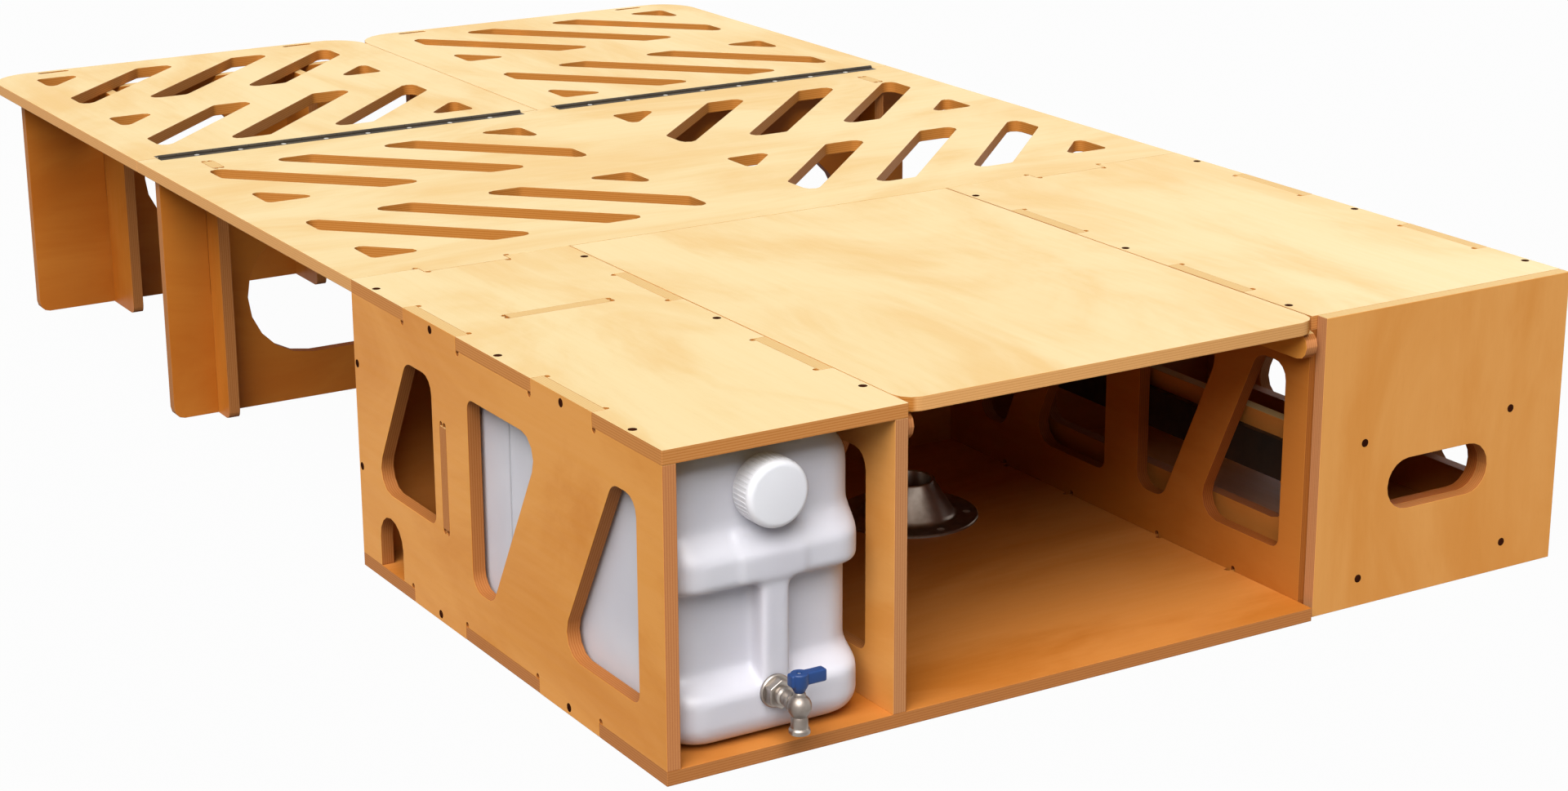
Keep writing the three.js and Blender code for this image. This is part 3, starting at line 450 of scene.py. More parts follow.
def edge_colour(tree, layers, outer, outer_facing_up, colours):
    # Painted shade: the inner colours of window and slot edges are partly the shade inside the cut.
    colour = mix_colour(tree, layers["End grain"], *colours["inner"])
    colour = mix_colour(tree, outer, colour, mix_colour(tree, layers["End grain"], *colours["outer"]))
    # Painted light: outer edges that face up get the lit top's pale colours, with fainter glue and burr.
    colour = mix_colour(tree, outer_facing_up, colour, mix_colour(tree, layers["End grain"], *UPPER_EDGE))
    for mask, (raw, faint) in ((layers["Glue"], GLUE_SHARES), (layers["Burr"], BURR_SHARES)):
        share = stretch(tree, outer_facing_up, 0.0, 1.0, raw, faint)
        colour = mix_colour(tree, math_node(tree, "MULTIPLY", mask, share), colour, colours["glue"])
    return colour


print("glue and burr, on other edges and on those that face up:", GLUE_SHARES, BURR_SHARES)

# %% [markdown]
# ### The finish of one board
# One material could serve all the boards, but it wouldn't know where the corner of each board
# is or which way its grain runs. So one function makes a material for each board, and no two
# are alike. The lacquer is thin: its gloss is low, its roughness follows the streaks, and a
# bump too faint to see as a shape breaks up the reflections. A cut edge is duller than a face.

# %% Birch finish
FACE_ROUGHNESS, STREAK_ROUGHNESS = 0.44, 0.05
EDGE_ROUGHNESS, BURR_ROUGHNESS = 0.55, 0.2
LACQUER_SHINE = 0.16
BIRCH_BUMP = 0.06
BUMP_DEPTH = 0.1 * MM


def new_material(name):
    """A material with an empty network but its shader and output, and the piece's coordinates."""
    material = bpy.data.materials.new(name)
    material.use_nodes = True
    tree = material.node_tree
    return material, tree, tree.nodes["Principled BSDF"], add_node(tree, "ShaderNodeTexCoord").outputs


def masks_of(tree, group, place):
    """Puts a group into a material, at a place, and gives its masks."""
    made = add_node(tree, "ShaderNodeGroup", node_tree=group)
    tree.links.new(place, made.inputs["Place"])
    return made.outputs


def roughen(tree, shader, height, strength, depth=BUMP_DEPTH):
    bump = add_node(tree, "ShaderNodeBump", {"Strength": strength, "Distance": depth, "Height": height})
    tree.links.new(bump.outputs["Normal"], shader.inputs["Normal"])


def birch(node, tone, number, grain=None):
    """The finish of one board. Its number moves the figure, so that no two boards are alike."""
    material, tree, shader, coordinates = new_material(f"birch_{node}")
    place, on_face, outer, outer_facing_up = board_masks(tree, coordinates, node, number, grain)
    figure = masks_of(tree, VENEER, place)
    layers = masks_of(tree, PLIES, place)
    face = face_colour(tree, figure, TONES[tone])
    edge = edge_colour(tree, layers, outer, outer_facing_up, TONES[tone])
    tree.links.new(mix_colour(tree, on_face, edge, face), shader.inputs["Base Color"])

    gloss = math_node(tree, "MULTIPLY", figure["Streaks"], STREAK_ROUGHNESS)
    gloss = math_node(tree, "ADD", gloss, FACE_ROUGHNESS)
    dull = math_node(tree, "MULTIPLY", layers["Burr"], BURR_ROUGHNESS)
    dull = math_node(tree, "ADD", dull, EDGE_ROUGHNESS)
    tree.links.new(mix_value(tree, on_face, dull, gloss), shader.inputs["Roughness"])
    grain_height = math_node(tree, "SUBTRACT", figure["Streaks"], figure["Pores"])
    roughen(tree, shader, mix_value(tree, on_face, layers["Burr"], grain_height), BIRCH_BUMP)
    shader.inputs["Specular IOR Level"].default_value = LACQUER_SHINE
    return material


print("lacquer roughness, face and edge:", FACE_ROUGHNESS, EDGE_ROUGHNESS)

# %% [markdown]
# ## The boards
# A board from the frame is loose triangles with knife-sharp corners. It could be shown as it is,
# but a sharp edge never catches the light. So a copy of it is merged, and its flat triangles
# are made less thin, because a bevel can turn a very thin one over. Then a bevel of under a
# millimetre takes the sharpness off, as sandpaper does on the real box. It keeps the normals of
# the flat faces, so they stay flat.

# %% One board
SANDED_EDGE = 0.6 * MM
FLAT = math.radians(0.5)
BEVEL_OVER = math.radians(50)
BOARD_CRISP = 50

node_body = {
    node: body for body, nodes in frame["record"]["behaviour"]["bodies"].items() for node in nodes
}


def merged_copy(node, name):
    """A copy of a node's mesh with its corners merged and its flat triangles made less thin."""
    piece = bpy.data.objects.new(name, frame["nodes"][node].data.copy())
    bpy.context.scene.collection.objects.link(piece)
    only(piece)
    if piece.data.has_custom_normals:
        bpy.ops.mesh.customdata_custom_splitnormals_clear()
    bpy.ops.object.mode_set(mode="EDIT")
    bpy.ops.mesh.select_all(action="SELECT")
    bpy.ops.mesh.remove_doubles(threshold=MM / 100)
    bpy.ops.mesh.beautify_fill(angle_limit=FLAT)
    bpy.ops.object.mode_set(mode="OBJECT")
    return piece


def dress(piece, body, slot, material, *nodes):
    """The last step of every piece: its finish, the body that it rides on, the nodes it replaces."""
    piece.data.materials.clear()
    piece.data.materials.append(material)
    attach(piece, body)
    if nodes:
        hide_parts(*nodes)
    return piece


def board(node, tone, number):
    piece = merged_copy(node, f"{node}_board")
    shade(piece, BOARD_CRISP)
    modify(
        piece, "BEVEL", width=SANDED_EDGE, segments=2, limit_method="ANGLE", angle_limit=BEVEL_OVER,
        use_clamp_overlap=False, harden_normals=True,
    )
    material = birch(node, tone, number, GRAIN_AXIS.get(node))
    dress(piece, node_body[node], "birch_plywood", material, node)


print("nodes with a body:", len(node_body))

# %% [markdown]
# The boards could be dressed one by one, but all of them take the same steps, so a loop goes
# through every node that the frame lists as birch plywood. The grain runs along a board, save
# on two of them: it stands upright on the drawer front, and on the lid it runs from front to
# back. Boards that no tone lists are warm, and all parts of a leg share the tone of the legs.

# %% All boards
GRAIN_AXIS = {"drawer_front": 2, "lid": 1}

node_slot = {part["node"]: part["material_slot"] for part in frame["record"]["subparts"]}
board_nodes = sorted(node for node, slot in node_slot.items() if slot == "birch_plywood")
for number, node in enumerate(board_nodes):
    tone = "leg" if "leg" in node else "warm"
    for listed, nodes in BOARD_TONES.items():
        tone = listed if node in nodes else tone
    board(node, tone, number)
print("boards:", len(board_nodes))

# %% [markdown]
# ### Skin and polish
# Moulded plastic is never one flat colour: the wall is thicker in one place than in another, and
# its skin has a fine orange peel. Steel and chrome have faint smudges and a brushed direction.
# Each finish could have its own noise, but several finishes share these two effects, so they are
# groups.

# %% Skin and polish groups
MOTTLE_WAVES, MOTTLE_SPAN = (9.0, 9.0, 9.0), (0.3, 0.7)
PEEL_WAVES = (420.0, 420.0, 420.0)
SMUDGE_WAVES, SMUDGE_SPAN = (30.0, 30.0, 30.0), (0.35, 0.7)
BRUSH_WAVES = (60.0, 12.0, 1400.0)

SKIN, place, skin_out = new_group("moulded_skin", "Mottle", "Peel")
mottle = noise(SKIN, place, MOTTLE_WAVES)
SKIN.links.new(stretch(SKIN, mottle, *MOTTLE_SPAN), skin_out.inputs["Mottle"])
SKIN.links.new(noise(SKIN, place, PEEL_WAVES), skin_out.inputs["Peel"])

POLISH, place, polish_out = new_group("worn_polish", "Smudge", "Brush")
smudge = noise(POLISH, place, SMUDGE_WAVES, detail=4.0)
POLISH.links.new(stretch(POLISH, smudge, *SMUDGE_SPAN), polish_out.inputs["Smudge"])
POLISH.links.new(noise(POLISH, place, BRUSH_WAVES), polish_out.inputs["Brush"])
print("skin and polish groups made")

# %% [markdown]
# ### Plastics
# The canister is milky polyethylene with a wall that light sinks into, so it gets subsurface
# scattering, which softens the shade in its hollows. A glass-like transmission could do that
# too, but in the photograph nothing shows through the wall. The cap is a whiter and harder
# plastic, and the tap's lever a plain blue one.

# %% Plastic finishes
PEEL_ROUGHNESS = 0.06
LIGHT_SINKS = 12 * MM
LIGHT_SINKS_BY_COLOUR = (1.0, 0.95, 0.9)


def plastic(name, colour, deep, roughness, peel, milky=0.0):
    """A moulded finish: two near colours, and a roughness that follows the orange peel."""
    material, tree, shader, coordinates = new_material(name)
    skin = masks_of(tree, SKIN, coordinates["Object"])
    tree.links.new(mix_colour(tree, skin["Mottle"], colour, deep), shader.inputs["Base Color"])
    low, high = roughness - PEEL_ROUGHNESS, roughness + PEEL_ROUGHNESS
    tree.links.new(stretch(tree, skin["Peel"], 0.0, 1.0, low, high), shader.inputs["Roughness"])
    roughen(tree, shader, skin["Peel"], peel)
    shader.inputs["Subsurface Weight"].default_value = milky
    shader.inputs["Subsurface Radius"].default_value = LIGHT_SINKS_BY_COLOUR
    shader.inputs["Subsurface Scale"].default_value = LIGHT_SINKS
    return material


canister_plastic = plastic(
    "canister_plastic", seen_as(212, 211, 217), seen_as(205, 203, 210),
    roughness=0.4, peel=0.15, milky=0.6,
)
cap_plastic = plastic(
    "cap_plastic", seen_as(235, 235, 239), seen_as(230, 229, 234), roughness=0.42, peel=0.2, milky=0.2,
)
lever_plastic = plastic(
    "lever_plastic", tint(5, 54, 112), tint(4, 46, 98), roughness=0.5, peel=0.2,
)
print("plastics: canister, cap and lever")

# %% [markdown]
# ### Metals
# The tap is nickel plated, the table socket chromed, the slides and the hinges' screws are zinc plated
# and the hinges and the box's screws blackened. The slides' zinc is painted dark brown, which is painted
# shade of the drawer bay. The tap's nickel and the socket's chrome are painted darker and warmer, partly
# as a painted reflection of the brown wood around them. One function makes them all, from a colour, a
# duller one for the smudges and a roughness. The blackening is a skin that hides the metal, so the hinges
# are only partly metallic, and the box's screws not at all and without any shine.

# %% Metal finishes
SMUDGE_ROUGHNESS = 0.12
BRUSH_DEPTH = 0.05 * MM
USUAL_SHINE = 0.5


def metal(name, colour, dull, roughness, metallic=1.0, brush=0.1, shine=USUAL_SHINE):
    """A metal finish: smudges dull its colour and its gloss, fine scratches run along it."""
    material, tree, shader, coordinates = new_material(name)
    polish = masks_of(tree, POLISH, coordinates["Object"])
    tree.links.new(mix_colour(tree, polish["Smudge"], colour, dull), shader.inputs["Base Color"])
    rough = stretch(tree, polish["Smudge"], 0.0, 1.0, roughness, roughness + SMUDGE_ROUGHNESS)
    tree.links.new(rough, shader.inputs["Roughness"])
    roughen(tree, shader, polish["Brush"], brush, BRUSH_DEPTH)
    shader.inputs["Metallic"].default_value = metallic
    shader.inputs["Specular IOR Level"].default_value = shine
    return material


hinge_black = metal(
    "hinge_black", tint(50, 40, 25), tint(40, 32, 20), roughness=0.6, metallic=0.3,
)
screw_black = metal(
    "screw_black", tint(58, 26, 14), tint(44, 20, 12), roughness=0.8, metallic=0.0, shine=0.0,
)
steel_light = metal(
    "steel_light", tint(222, 219, 212), tint(200, 197, 190), roughness=0.3, metallic=0.7,
)
# Painted shade: the slides' dark brown stands for the shade of the drawer bay.
shaded_slide_zinc = metal(
    "shaded_slide_zinc", tint(52, 43, 36), tint(38, 31, 26), roughness=0.45, metallic=0.7, brush=0.3,
)
# Partly painted reflection: nickel and chrome are darkened and warmed as if mirroring the brown wood
# around them.
tap_nickel = metal("tap_nickel", tint(166, 158, 150), tint(126, 116, 108), roughness=0.34)
socket_chrome = metal("socket_chrome", tint(172, 158, 146), tint(136, 122, 110), roughness=0.3)
print("metals: hinges, screws, slides, tap and socket")

# %% [markdown]
# ## The water canister
# The real canister is blown from one tube of plastic, so nothing on it is sharp. Its side walls
# are flat, but its front is drawn back between two bands, and above them for the cap. It could
# be cut out of a block, but then each change of the front would be a cut of its own. It is built
# from a flat rectangle whose four corners are rounded, which is pushed up level by level. Each
# level has its own height above the base, its own recess of the front and its own rim all
# round.

# %% Canister levels
CANISTER_LENGTH = 440 * MM
CANISTER_CORNER = 34 * MM
CANISTER_CORNER_STEPS = 8
# Height above the base, recess of the front and rim all round, in millimetres.
CANISTER_LEVELS = [
    (0, 0, 30), (1, 0, 22), (4, 0, 13), (9, 0, 6), (16, 0, 2), (24, 0, 0), (49, 0, 0), (53, 1.2, 0),
    (57, 5, 0), (66, 18.5, 0), (70, 23, 0), (75, 25, 0), (152, 25, 0), (155, 23, 0), (158, 15, 0),
    (161, 6, 0), (164, 1.5, 0), (168, 0, 0), (190, 0, 0), (194, 1.2, 0), (199, 4.5, 0), (211, 15, 0),
    (216, 18.5, 0), (222, 20, 0), (258, 20, 0), (268, 20, 1), (277, 20, 4), (285, 20, 10),
    (291, 20, 17), (294.6, 20, 27), (296, 20, 39),
]

canister_low, canister_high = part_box("canister_body")
canister_front = canister_high.y - CANISTER_LENGTH
canister_middle = (canister_low.x + canister_high.x) / 2
canister_base = canister_low.z


def level_size(recess, rim):
    """Half width, front and back of a level."""
    width = (canister_high.x - canister_low.x) / 2 - rim * MM
    return width, canister_front + (recess + rim) * MM, canister_high.y - rim * MM


def draw_in(before, after, height):
    """Turns the selected level from the size that it had before into its own."""
    (width, front, back), (new_width, new_front, new_back) = before, after
    middle = (front + back) / 2
    bpy.ops.transform.resize(
        value=(new_width / width, (new_back - new_front) / (back - front), 1),
        center_override=(canister_middle, middle, canister_base + height),
    )
    bpy.ops.transform.translate(value=(0, (new_front + new_back) / 2 - middle, 0))


print("canister levels:", len(CANISTER_LEVELS))

# %% [markdown]
# On the real canister each level flows into the next, so no level is a piece of its own. Each
# could be drawn by hand, but only the top level stays selected after an extrude, so a loop can
# push it up and draw it in, again and again. The first level is the foot, which is rounded in
# under the canister.

# %% Canister walls
start()
bpy.ops.mesh.primitive_plane_add(
    size=1, location=(canister_middle, canister_front + CANISTER_LENGTH / 2, canister_base),
)
bpy.context.object.scale = (canister_high.x - canister_low.x, CANISTER_LENGTH, 1)
canister = settle(bpy.context.object, "canister_shell")
bpy.ops.object.mode_set(mode="EDIT")
bpy.ops.mesh.select_all(action="SELECT")
bpy.ops.mesh.bevel(offset=CANISTER_CORNER, segments=CANISTER_CORNER_STEPS, affect="VERTICES")
bpy.ops.mesh.select_all(action="SELECT")
draw_in(level_size(0, 0), level_size(*CANISTER_LEVELS[0][1:]), 0)
for before, after in zip(CANISTER_LEVELS, CANISTER_LEVELS[1:]):
    rise = (after[0] - before[0]) * MM
    bpy.ops.mesh.extrude_region_move(TRANSFORM_OT_translate={"value": (0, 0, rise)})
    draw_in(level_size(*before[1:]), level_size(*after[1:]), after[0] * MM)
bpy.ops.mesh.select_all(action="SELECT")
bpy.ops.mesh.normals_make_consistent(inside=False)
bpy.ops.object.mode_set(mode="OBJECT")
print("canister faces:", len(canister.data.polygons))

# %% [markdown]
# ### Rib and pad
# A rib stands on the lower band and meets the pad of the upper band in two round inner corners.
# Both could be pushed out of the wall, but no face of the wall has their outline. So each is a
# flat outline that is pushed up into a plate. The rib's outline has the inner corners as arcs.
# The pad is drawn from the side, because it follows the slope of the band.

# %% Rib and pad
RIB_HALF, RIB_SHIFT, RIB_FILLET, RIB_EDGE = 15 * MM, 3.5 * MM, 10 * MM, 7 * MM
RIB_FOOT, RIB_TOP = 46 * MM, 182 * MM
RIB_BACK, RIB_DEPTH = 34 * MM, 33 * MM
RIB_BEVEL_OVER = math.radians(60)
FILLET_STEPS = 6
PAD_HALF, PAD_FOOT = 35 * MM, 162 * MM
# Depth behind the front wall and height above the base, in millimetres.
PAD_SIDE = [(-1.8, 164), (-1.8, 191), (13.2, 213), (30, 219), (30, 164)]


def quarter_turn(steps):
    return [i * math.pi / 2 / steps for i in range(steps + 1)]


def plate(name, outline, depth, place):
    """A flat outline of (x, y) points, pushed up by a depth and moved to its place."""
    start()
    bpy.ops.mesh.primitive_circle_add(vertices=len(outline), radius=1, fill_type="NGON")
    piece = bpy.context.object
    for vertex, (x, y) in zip(piece.data.vertices, outline):
        vertex.co = (x, y, 0)
    bpy.ops.object.mode_set(mode="EDIT")
    bpy.ops.mesh.select_all(action="SELECT")
    bpy.ops.mesh.extrude_region_move(TRANSFORM_OT_translate={"value": (0, 0, depth)})
    bpy.ops.mesh.select_all(action="SELECT")
    bpy.ops.mesh.normals_make_consistent(inside=False)
    bpy.ops.object.mode_set(mode="OBJECT")
    piece.data.transform(place)
    return settle(piece, name)


def rib_outline():
    shoulder = RIB_HALF + RIB_FILLET
    right = [
        (shoulder - RIB_FILLET * math.cos(a), PAD_FOOT - RIB_FILLET + RIB_FILLET * math.sin(a))
        for a in quarter_turn(FILLET_STEPS)
    ]
    left = [(-x, y) for x, y in reversed(right)]
    foot = [(-RIB_HALF, RIB_FOOT), (RIB_HALF, RIB_FOOT)]
    return [*foot, *right, (shoulder, RIB_TOP), (-shoulder, RIB_TOP), *left]


upright = Matrix.Rotation(math.pi / 2, 4, "X")
sideways = Matrix.Rotation(math.pi / 2, 4, "Z") @ upright
rib_place = Vector((canister_middle + RIB_SHIFT, canister_front + RIB_BACK, canister_base))
pad_place = Vector((canister_middle - PAD_HALF, canister_front, canister_base))
rib = plate("rib", rib_outline(), RIB_DEPTH, Matrix.Translation(rib_place) @ upright)
modify(rib, "BEVEL", width=RIB_EDGE, segments=4, limit_method="ANGLE", angle_limit=RIB_BEVEL_OVER)
pad_side = [(back * MM, height * MM) for back, height in PAD_SIDE]
pad = plate("pad", pad_side, 2 * PAD_HALF, Matrix.Translation(pad_place) @ sideways)
print("rib faces:", len(rib.data.polygons), "pad faces:", len(pad.data.polygons))

# %% [markdown]
# ### The neck, and turned pieces
# The neck is round, and so are most parts of the tap, the table socket, the hinges' knuckles and
# the screw heads. Cylinders and cones could be stacked, but a profile that is spun round an axis,
# as on a lathe, makes each in one piece. The profile is a ring of edges from a circle primitive.
# Where it starts and ends on the axis, its closing edge would lie on the axis, so that one is
# deleted before the spin. The points of a profile, and the sizes that go with them, are written
# in plain millimetres.

# %% Turned pieces and the neck
MERGE = MM / 100
NECK_RADIUS, NECK_LENGTH = 28, 24
NECK_SET = 26 * MM


def pick_edges(piece, test):
    """In edit mode, selects the edges whose two ends pass the test."""
    bpy.ops.mesh.select_mode(type="EDGE")
    bpy.ops.mesh.select_all(action="DESELECT")
    mesh = bmesh.from_edit_mesh(piece.data)
    for edge in mesh.edges:
        edge.select_set(bool(test(edge.verts[0].co, edge.verts[1].co)))
    bmesh.update_edit_mesh(piece.data)


def turned(name, profile, origin=(0, 0, 0), axis=(0, 0, 1), steps=64):
    """Spins a profile of (radius, height) points, in millimetres, round an axis from the origin."""
    start()
    bpy.ops.mesh.primitive_circle_add(vertices=len(profile), radius=1)
    piece = bpy.context.object
    for vertex, (radius, height) in zip(piece.data.vertices, profile):
        vertex.co = (radius * MM, 0, height * MM)
    bpy.ops.object.mode_set(mode="EDIT")
    if profile[0][0] == 0 and profile[-1][0] == 0:
        pick_edges(piece, lambda a, b: abs(a.x) + abs(b.x) < MERGE)
        bpy.ops.mesh.delete(type="EDGE")
    bpy.ops.mesh.select_mode(type="EDGE")
    bpy.ops.mesh.select_all(action="SELECT")
    bpy.ops.mesh.spin(steps=steps, angle=math.tau, center=(0, 0, 0), axis=(0, 0, 1))
    bpy.ops.mesh.select_all(action="SELECT")
    bpy.ops.mesh.remove_doubles(threshold=MERGE)
    bpy.ops.mesh.normals_make_consistent(inside=False)
    bpy.ops.object.mode_set(mode="OBJECT")
    piece.rotation_mode = "QUATERNION"
    piece.rotation_quaternion = Vector((0, 0, 1)).rotation_difference(Vector(axis))
    piece.location = origin
    return settle(piece, name)


neck_low, neck_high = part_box("canister_cap")
neck_middle = (neck_low + neck_high) / 2
neck = turned(
    "neck", [(0, 0), (NECK_RADIUS, 0), (NECK_RADIUS, NECK_LENGTH), (0, NECK_LENGTH)],
    (neck_middle.x, canister_front + NECK_SET, neck_middle.z), (0, -1, 0), steps=40,
)
print("neck faces:", len(neck.data.polygons))

# %% [markdown]
# ### One skin
# The real canister has one skin, and all its corners are soft. Bevels on every edge would be an
# endless job where rib, pad, neck and bands meet. So the closed shapes are joined, a voxel
# remesh turns them into a single even skin, and a smoothing pass softens that, as the blowing
# does.

# %% One skin
VOXEL = 3 * MM
SOFTENING, SOFTENING_PASSES = 0.5, 6


def unite(base, *others):
    """Joins closed pieces into one closed skin."""
    for other in others:
        modify(base, "BOOLEAN", operation="UNION", object=other, solver="EXACT")
        bpy.data.objects.remove(other)


unite(canister, rib, pad, neck)
print("canister with rib, pad and neck:", len(canister.data.polygons), "faces")
modify(canister, "REMESH", mode="VOXEL", voxel_size=VOXEL)
modify(canister, "SMOOTH", factor=SOFTENING, iterations=SOFTENING_PASSES)
only(canister)
bpy.ops.object.shade_smooth()
print("canister skin:", len(canister.data.polygons), "faces")

# %% [markdown]
# ### Parting line
# The two halves of the mould leave a thin parting line that runs up both sides and over the top.
# A strip could be bent round the canister, but it would never lie on the skin everywhere. So a
# copy of the skin, grown by half a millimetre, is cut down to a slice where the halves met.

# %% Parting line
PARTING_PLACE = 340 * MM
PARTING_WIDTH = 1.6 * MM
PARTING_PROUD = 0.45 * MM
SLICE_OVER = 20 * MM


def boxed(name, low, high, edge=0.0, segments=3):
    """A box between two corners, with its edges rounded by a bevel."""
    start()
    low, high = Vector(low), Vector(high)
    bpy.ops.mesh.primitive_cube_add(size=1, location=(low + high) / 2, scale=high - low)
    piece = settle(bpy.context.object, name)
    if edge:
        modify(piece, "BEVEL", width=edge, segments=segments, limit_method="ANGLE")
    return piece


seam = canister.copy()
seam.data = canister.data.copy()
bpy.context.scene.collection.objects.link(seam)
settle(seam, "parting_line")
modify(seam, "DISPLACE", strength=PARTING_PROUD, mid_level=0.0)
parting_y = canister_front + PARTING_PLACE
slice_low = (canister_low.x - SLICE_OVER, parting_y, canister_base - SLICE_OVER)
slice_high = (canister_high.x + SLICE_OVER, parting_y + PARTING_WIDTH, canister_high.z + SLICE_OVER)
seam_slice = boxed("seam_slice", slice_low, slice_high)
modify(seam, "BOOLEAN", operation="INTERSECT", object=seam_slice, solver="EXACT")
bpy.data.objects.remove(seam_slice)
dress(canister, "canister", "canister_plastic", canister_plastic, "canister_body")
dress(seam, "canister", "canister_plastic", canister_plastic)
print("parting line:", len(seam.data.polygons), "faces")

# %% [markdown]
# ## The screw cap
# A cap has a smooth round-edged face and soft ribs round its side for the fingers. The ribs
# could be cut into the side one by one, but they stand on it and are all alike. So the shell
# is turned, and one rib is modelled and copied round it. The cap reaches back to the drawn-in
# front wall.

# %% Cap shell
MOULDED_CRISP = 40
CAP_SKIRT, CAP_ROUND, CAP_BORE, CAP_FACE = 9, 6.5, 29, 3
CAP_RIB_PROUD, SKIRT_EDGE, SKIRT_DRAFT = 0.45, 0.8, 0.15

cap_radius = (neck_high.z - neck_low.z) / 2 / MM
cap_depth = (neck_high.y - neck_low.y) / MM + CAP_SKIRT
cap_back = Vector((neck_middle.x, neck_high.y + CAP_SKIRT * MM, neck_middle.z))
shell = cap_radius - CAP_RIB_PROUD
rim = [
    (shell - CAP_ROUND * (1 - math.cos(a)), cap_depth - CAP_ROUND * (1 - math.sin(a)))
    for a in quarter_turn(FILLET_STEPS)
]
cap_profile = [
    (CAP_BORE, 0), (shell - SKIRT_DRAFT, 0), (shell, SKIRT_EDGE), *rim, (0, cap_depth),
    (0, cap_depth - CAP_FACE), (CAP_BORE, cap_depth - CAP_FACE),
]
cap = turned("cap_shell", cap_profile, cap_back, (0, -1, 0), steps=96)
shade(cap, MOULDED_CRISP)
dress(cap, "cap", "cap_plastic", cap_plastic, "canister_cap")
print("cap radius:", round(cap_radius, 1), "mm, depth:", round(cap_depth, 1), "mm")

# %% [markdown]
# What repeats, such as a rib, a knuckle or a screw, is modelled once, round +Z, and copied. An
# array modifier could do it, but only along a line or from an empty. `facing` gives the place of
# a copy that looks along a normal, and `copies` gives each copy its own mesh and joins them.

# %% Cap ribs
CAP_RIBS = 42
CAP_RIB_IN, CAP_RIB_SIDE, CAP_RIB_START, CAP_RIB_ROUND = 2.4, 1.4, 1.2, 0.9


def facing(point, normal):
    """The place of a copy that was made round +Z and now looks along a normal."""
    turn = Vector((0, 0, 1)).rotation_difference(Vector(normal)).to_matrix().to_4x4()
    return Matrix.Translation(point) @ turn


def copies(piece, places):
    """Copies of one piece, each with its own mesh, moved to its place and joined into one object."""
    made = []
    for place in places:
        twin = piece.copy()
        twin.data = piece.data.copy()
        twin.data.transform(place)
        bpy.context.scene.collection.objects.link(twin)
        made.append(twin)
    start()
    for twin in made:
        twin.select_set(True)
    bpy.context.view_layer.objects.active = made[0]
    if len(made) > 1:
        bpy.ops.object.join()
    return made[0]


rib_low = Vector((cap_radius - CAP_RIB_IN, -CAP_RIB_SIDE, CAP_RIB_START)) * MM
rib_high = Vector((cap_radius, CAP_RIB_SIDE, cap_depth - CAP_ROUND)) * MM
rib = boxed("cap_rib", rib_low, rib_high, CAP_RIB_ROUND * MM)
ring = facing(cap_back, (0, -1, 0))
ribs = copies(rib, [ring @ Matrix.Rotation(i * math.tau / CAP_RIBS, 4, "Z") for i in range(CAP_RIBS)])
bpy.data.objects.remove(rib)
settle(ribs, "cap_ribs")
shade(ribs, MOULDED_CRISP)
dress(ribs, "cap", "cap_plastic", cap_plastic)
print("cap ribs:", CAP_RIBS)

# %% [markdown]
# ## The ball tap
# A flange and a hexagon nut clamp the tap to the lower band. The nut could be turned with six
# steps, but then the flange would have six sides too. So the flange is turned, the hexagon is a
# cylinder of six sides with its edges broken, and the two are joined.

# %% Tap nut
TURNED_CRISP = 35
FLANGE, FLANGE_EDGE, NUT_LAP = 3.6, 1, 1
HEXAGON_RADIUS = 15.2 * MM
HEXAGON_EDGE = 0.9 * MM

nut_low, nut_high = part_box("tap_nut")
nut_radius = (nut_high.x - nut_low.x) / 2 / MM
tap_x = (nut_low.x + nut_high.x) / 2
tap_z = (nut_low.z + nut_high.z) / 2
flange = turned(
    "tap_flange",
    [(0, 0), (nut_radius, 0), (nut_radius, FLANGE - FLANGE_EDGE), (nut_radius - FLANGE_EDGE, FLANGE),
     (0, FLANGE)],
    (tap_x, nut_high.y, tap_z), (0, -1, 0), steps=64,
)
hexagon_back = nut_high.y - (FLANGE - NUT_LAP) * MM
start()
bpy.ops.mesh.primitive_cylinder_add(
    vertices=6, radius=HEXAGON_RADIUS, depth=hexagon_back - nut_low.y, rotation=(math.pi / 2, 0, 0),
    location=(tap_x, (nut_low.y + hexagon_back) / 2, tap_z),
)
nut = settle(bpy.context.object, "tap_clamp_nut")
modify(nut, "BEVEL", width=HEXAGON_EDGE, segments=3, limit_method="ANGLE")
unite(nut, flange)
shade(nut, TURNED_CRISP)
dress(nut, "canister", "tap_nickel", tap_nickel, "tap_nut")
print("nut radius:", round(nut_radius, 1), "mm")

# %% [markdown]
# The body of the tap is one casting. Its two main shapes are round, about different axes: the
# tube that comes out of the canister, and the ball with its spout. It could be built up from a
# cylinder for each step, but a profile shows all its steps at once. So each shape is turned
# from its own profile, with the collars of the real one, and the two are joined.

# %% Tap body
BALL = 12
# Degrees round the ball, counted from its top.
BALL_ANGLES = range(32, 140, 9)
# Radius and distance along the axis, in millimetres.
TUBE_PROFILE = [
    (0, 0), (9, 0), (9, 16), (10, 17), (10, 20), (8, 21.5), (8, 30), (9.6, 33), (9.6, 36), (0, 40),
]
SPOUT_TOP = [(0, 14), (5, 14), (6, 13)]
SPOUT_WAIST = [(7.4, -10.6), (8.4, -13)]
SPOUT_BORE = [(6, -9), (0, -8)]
# The spout's mouth, with heights above its lower end.
SPOUT_MOUTH = [(8.6, 6), (10.2, 4.6), (10.5, 3.6), (10.5, 0.8), (9.8, 0), (6.6, 0), (6, 0.6)]

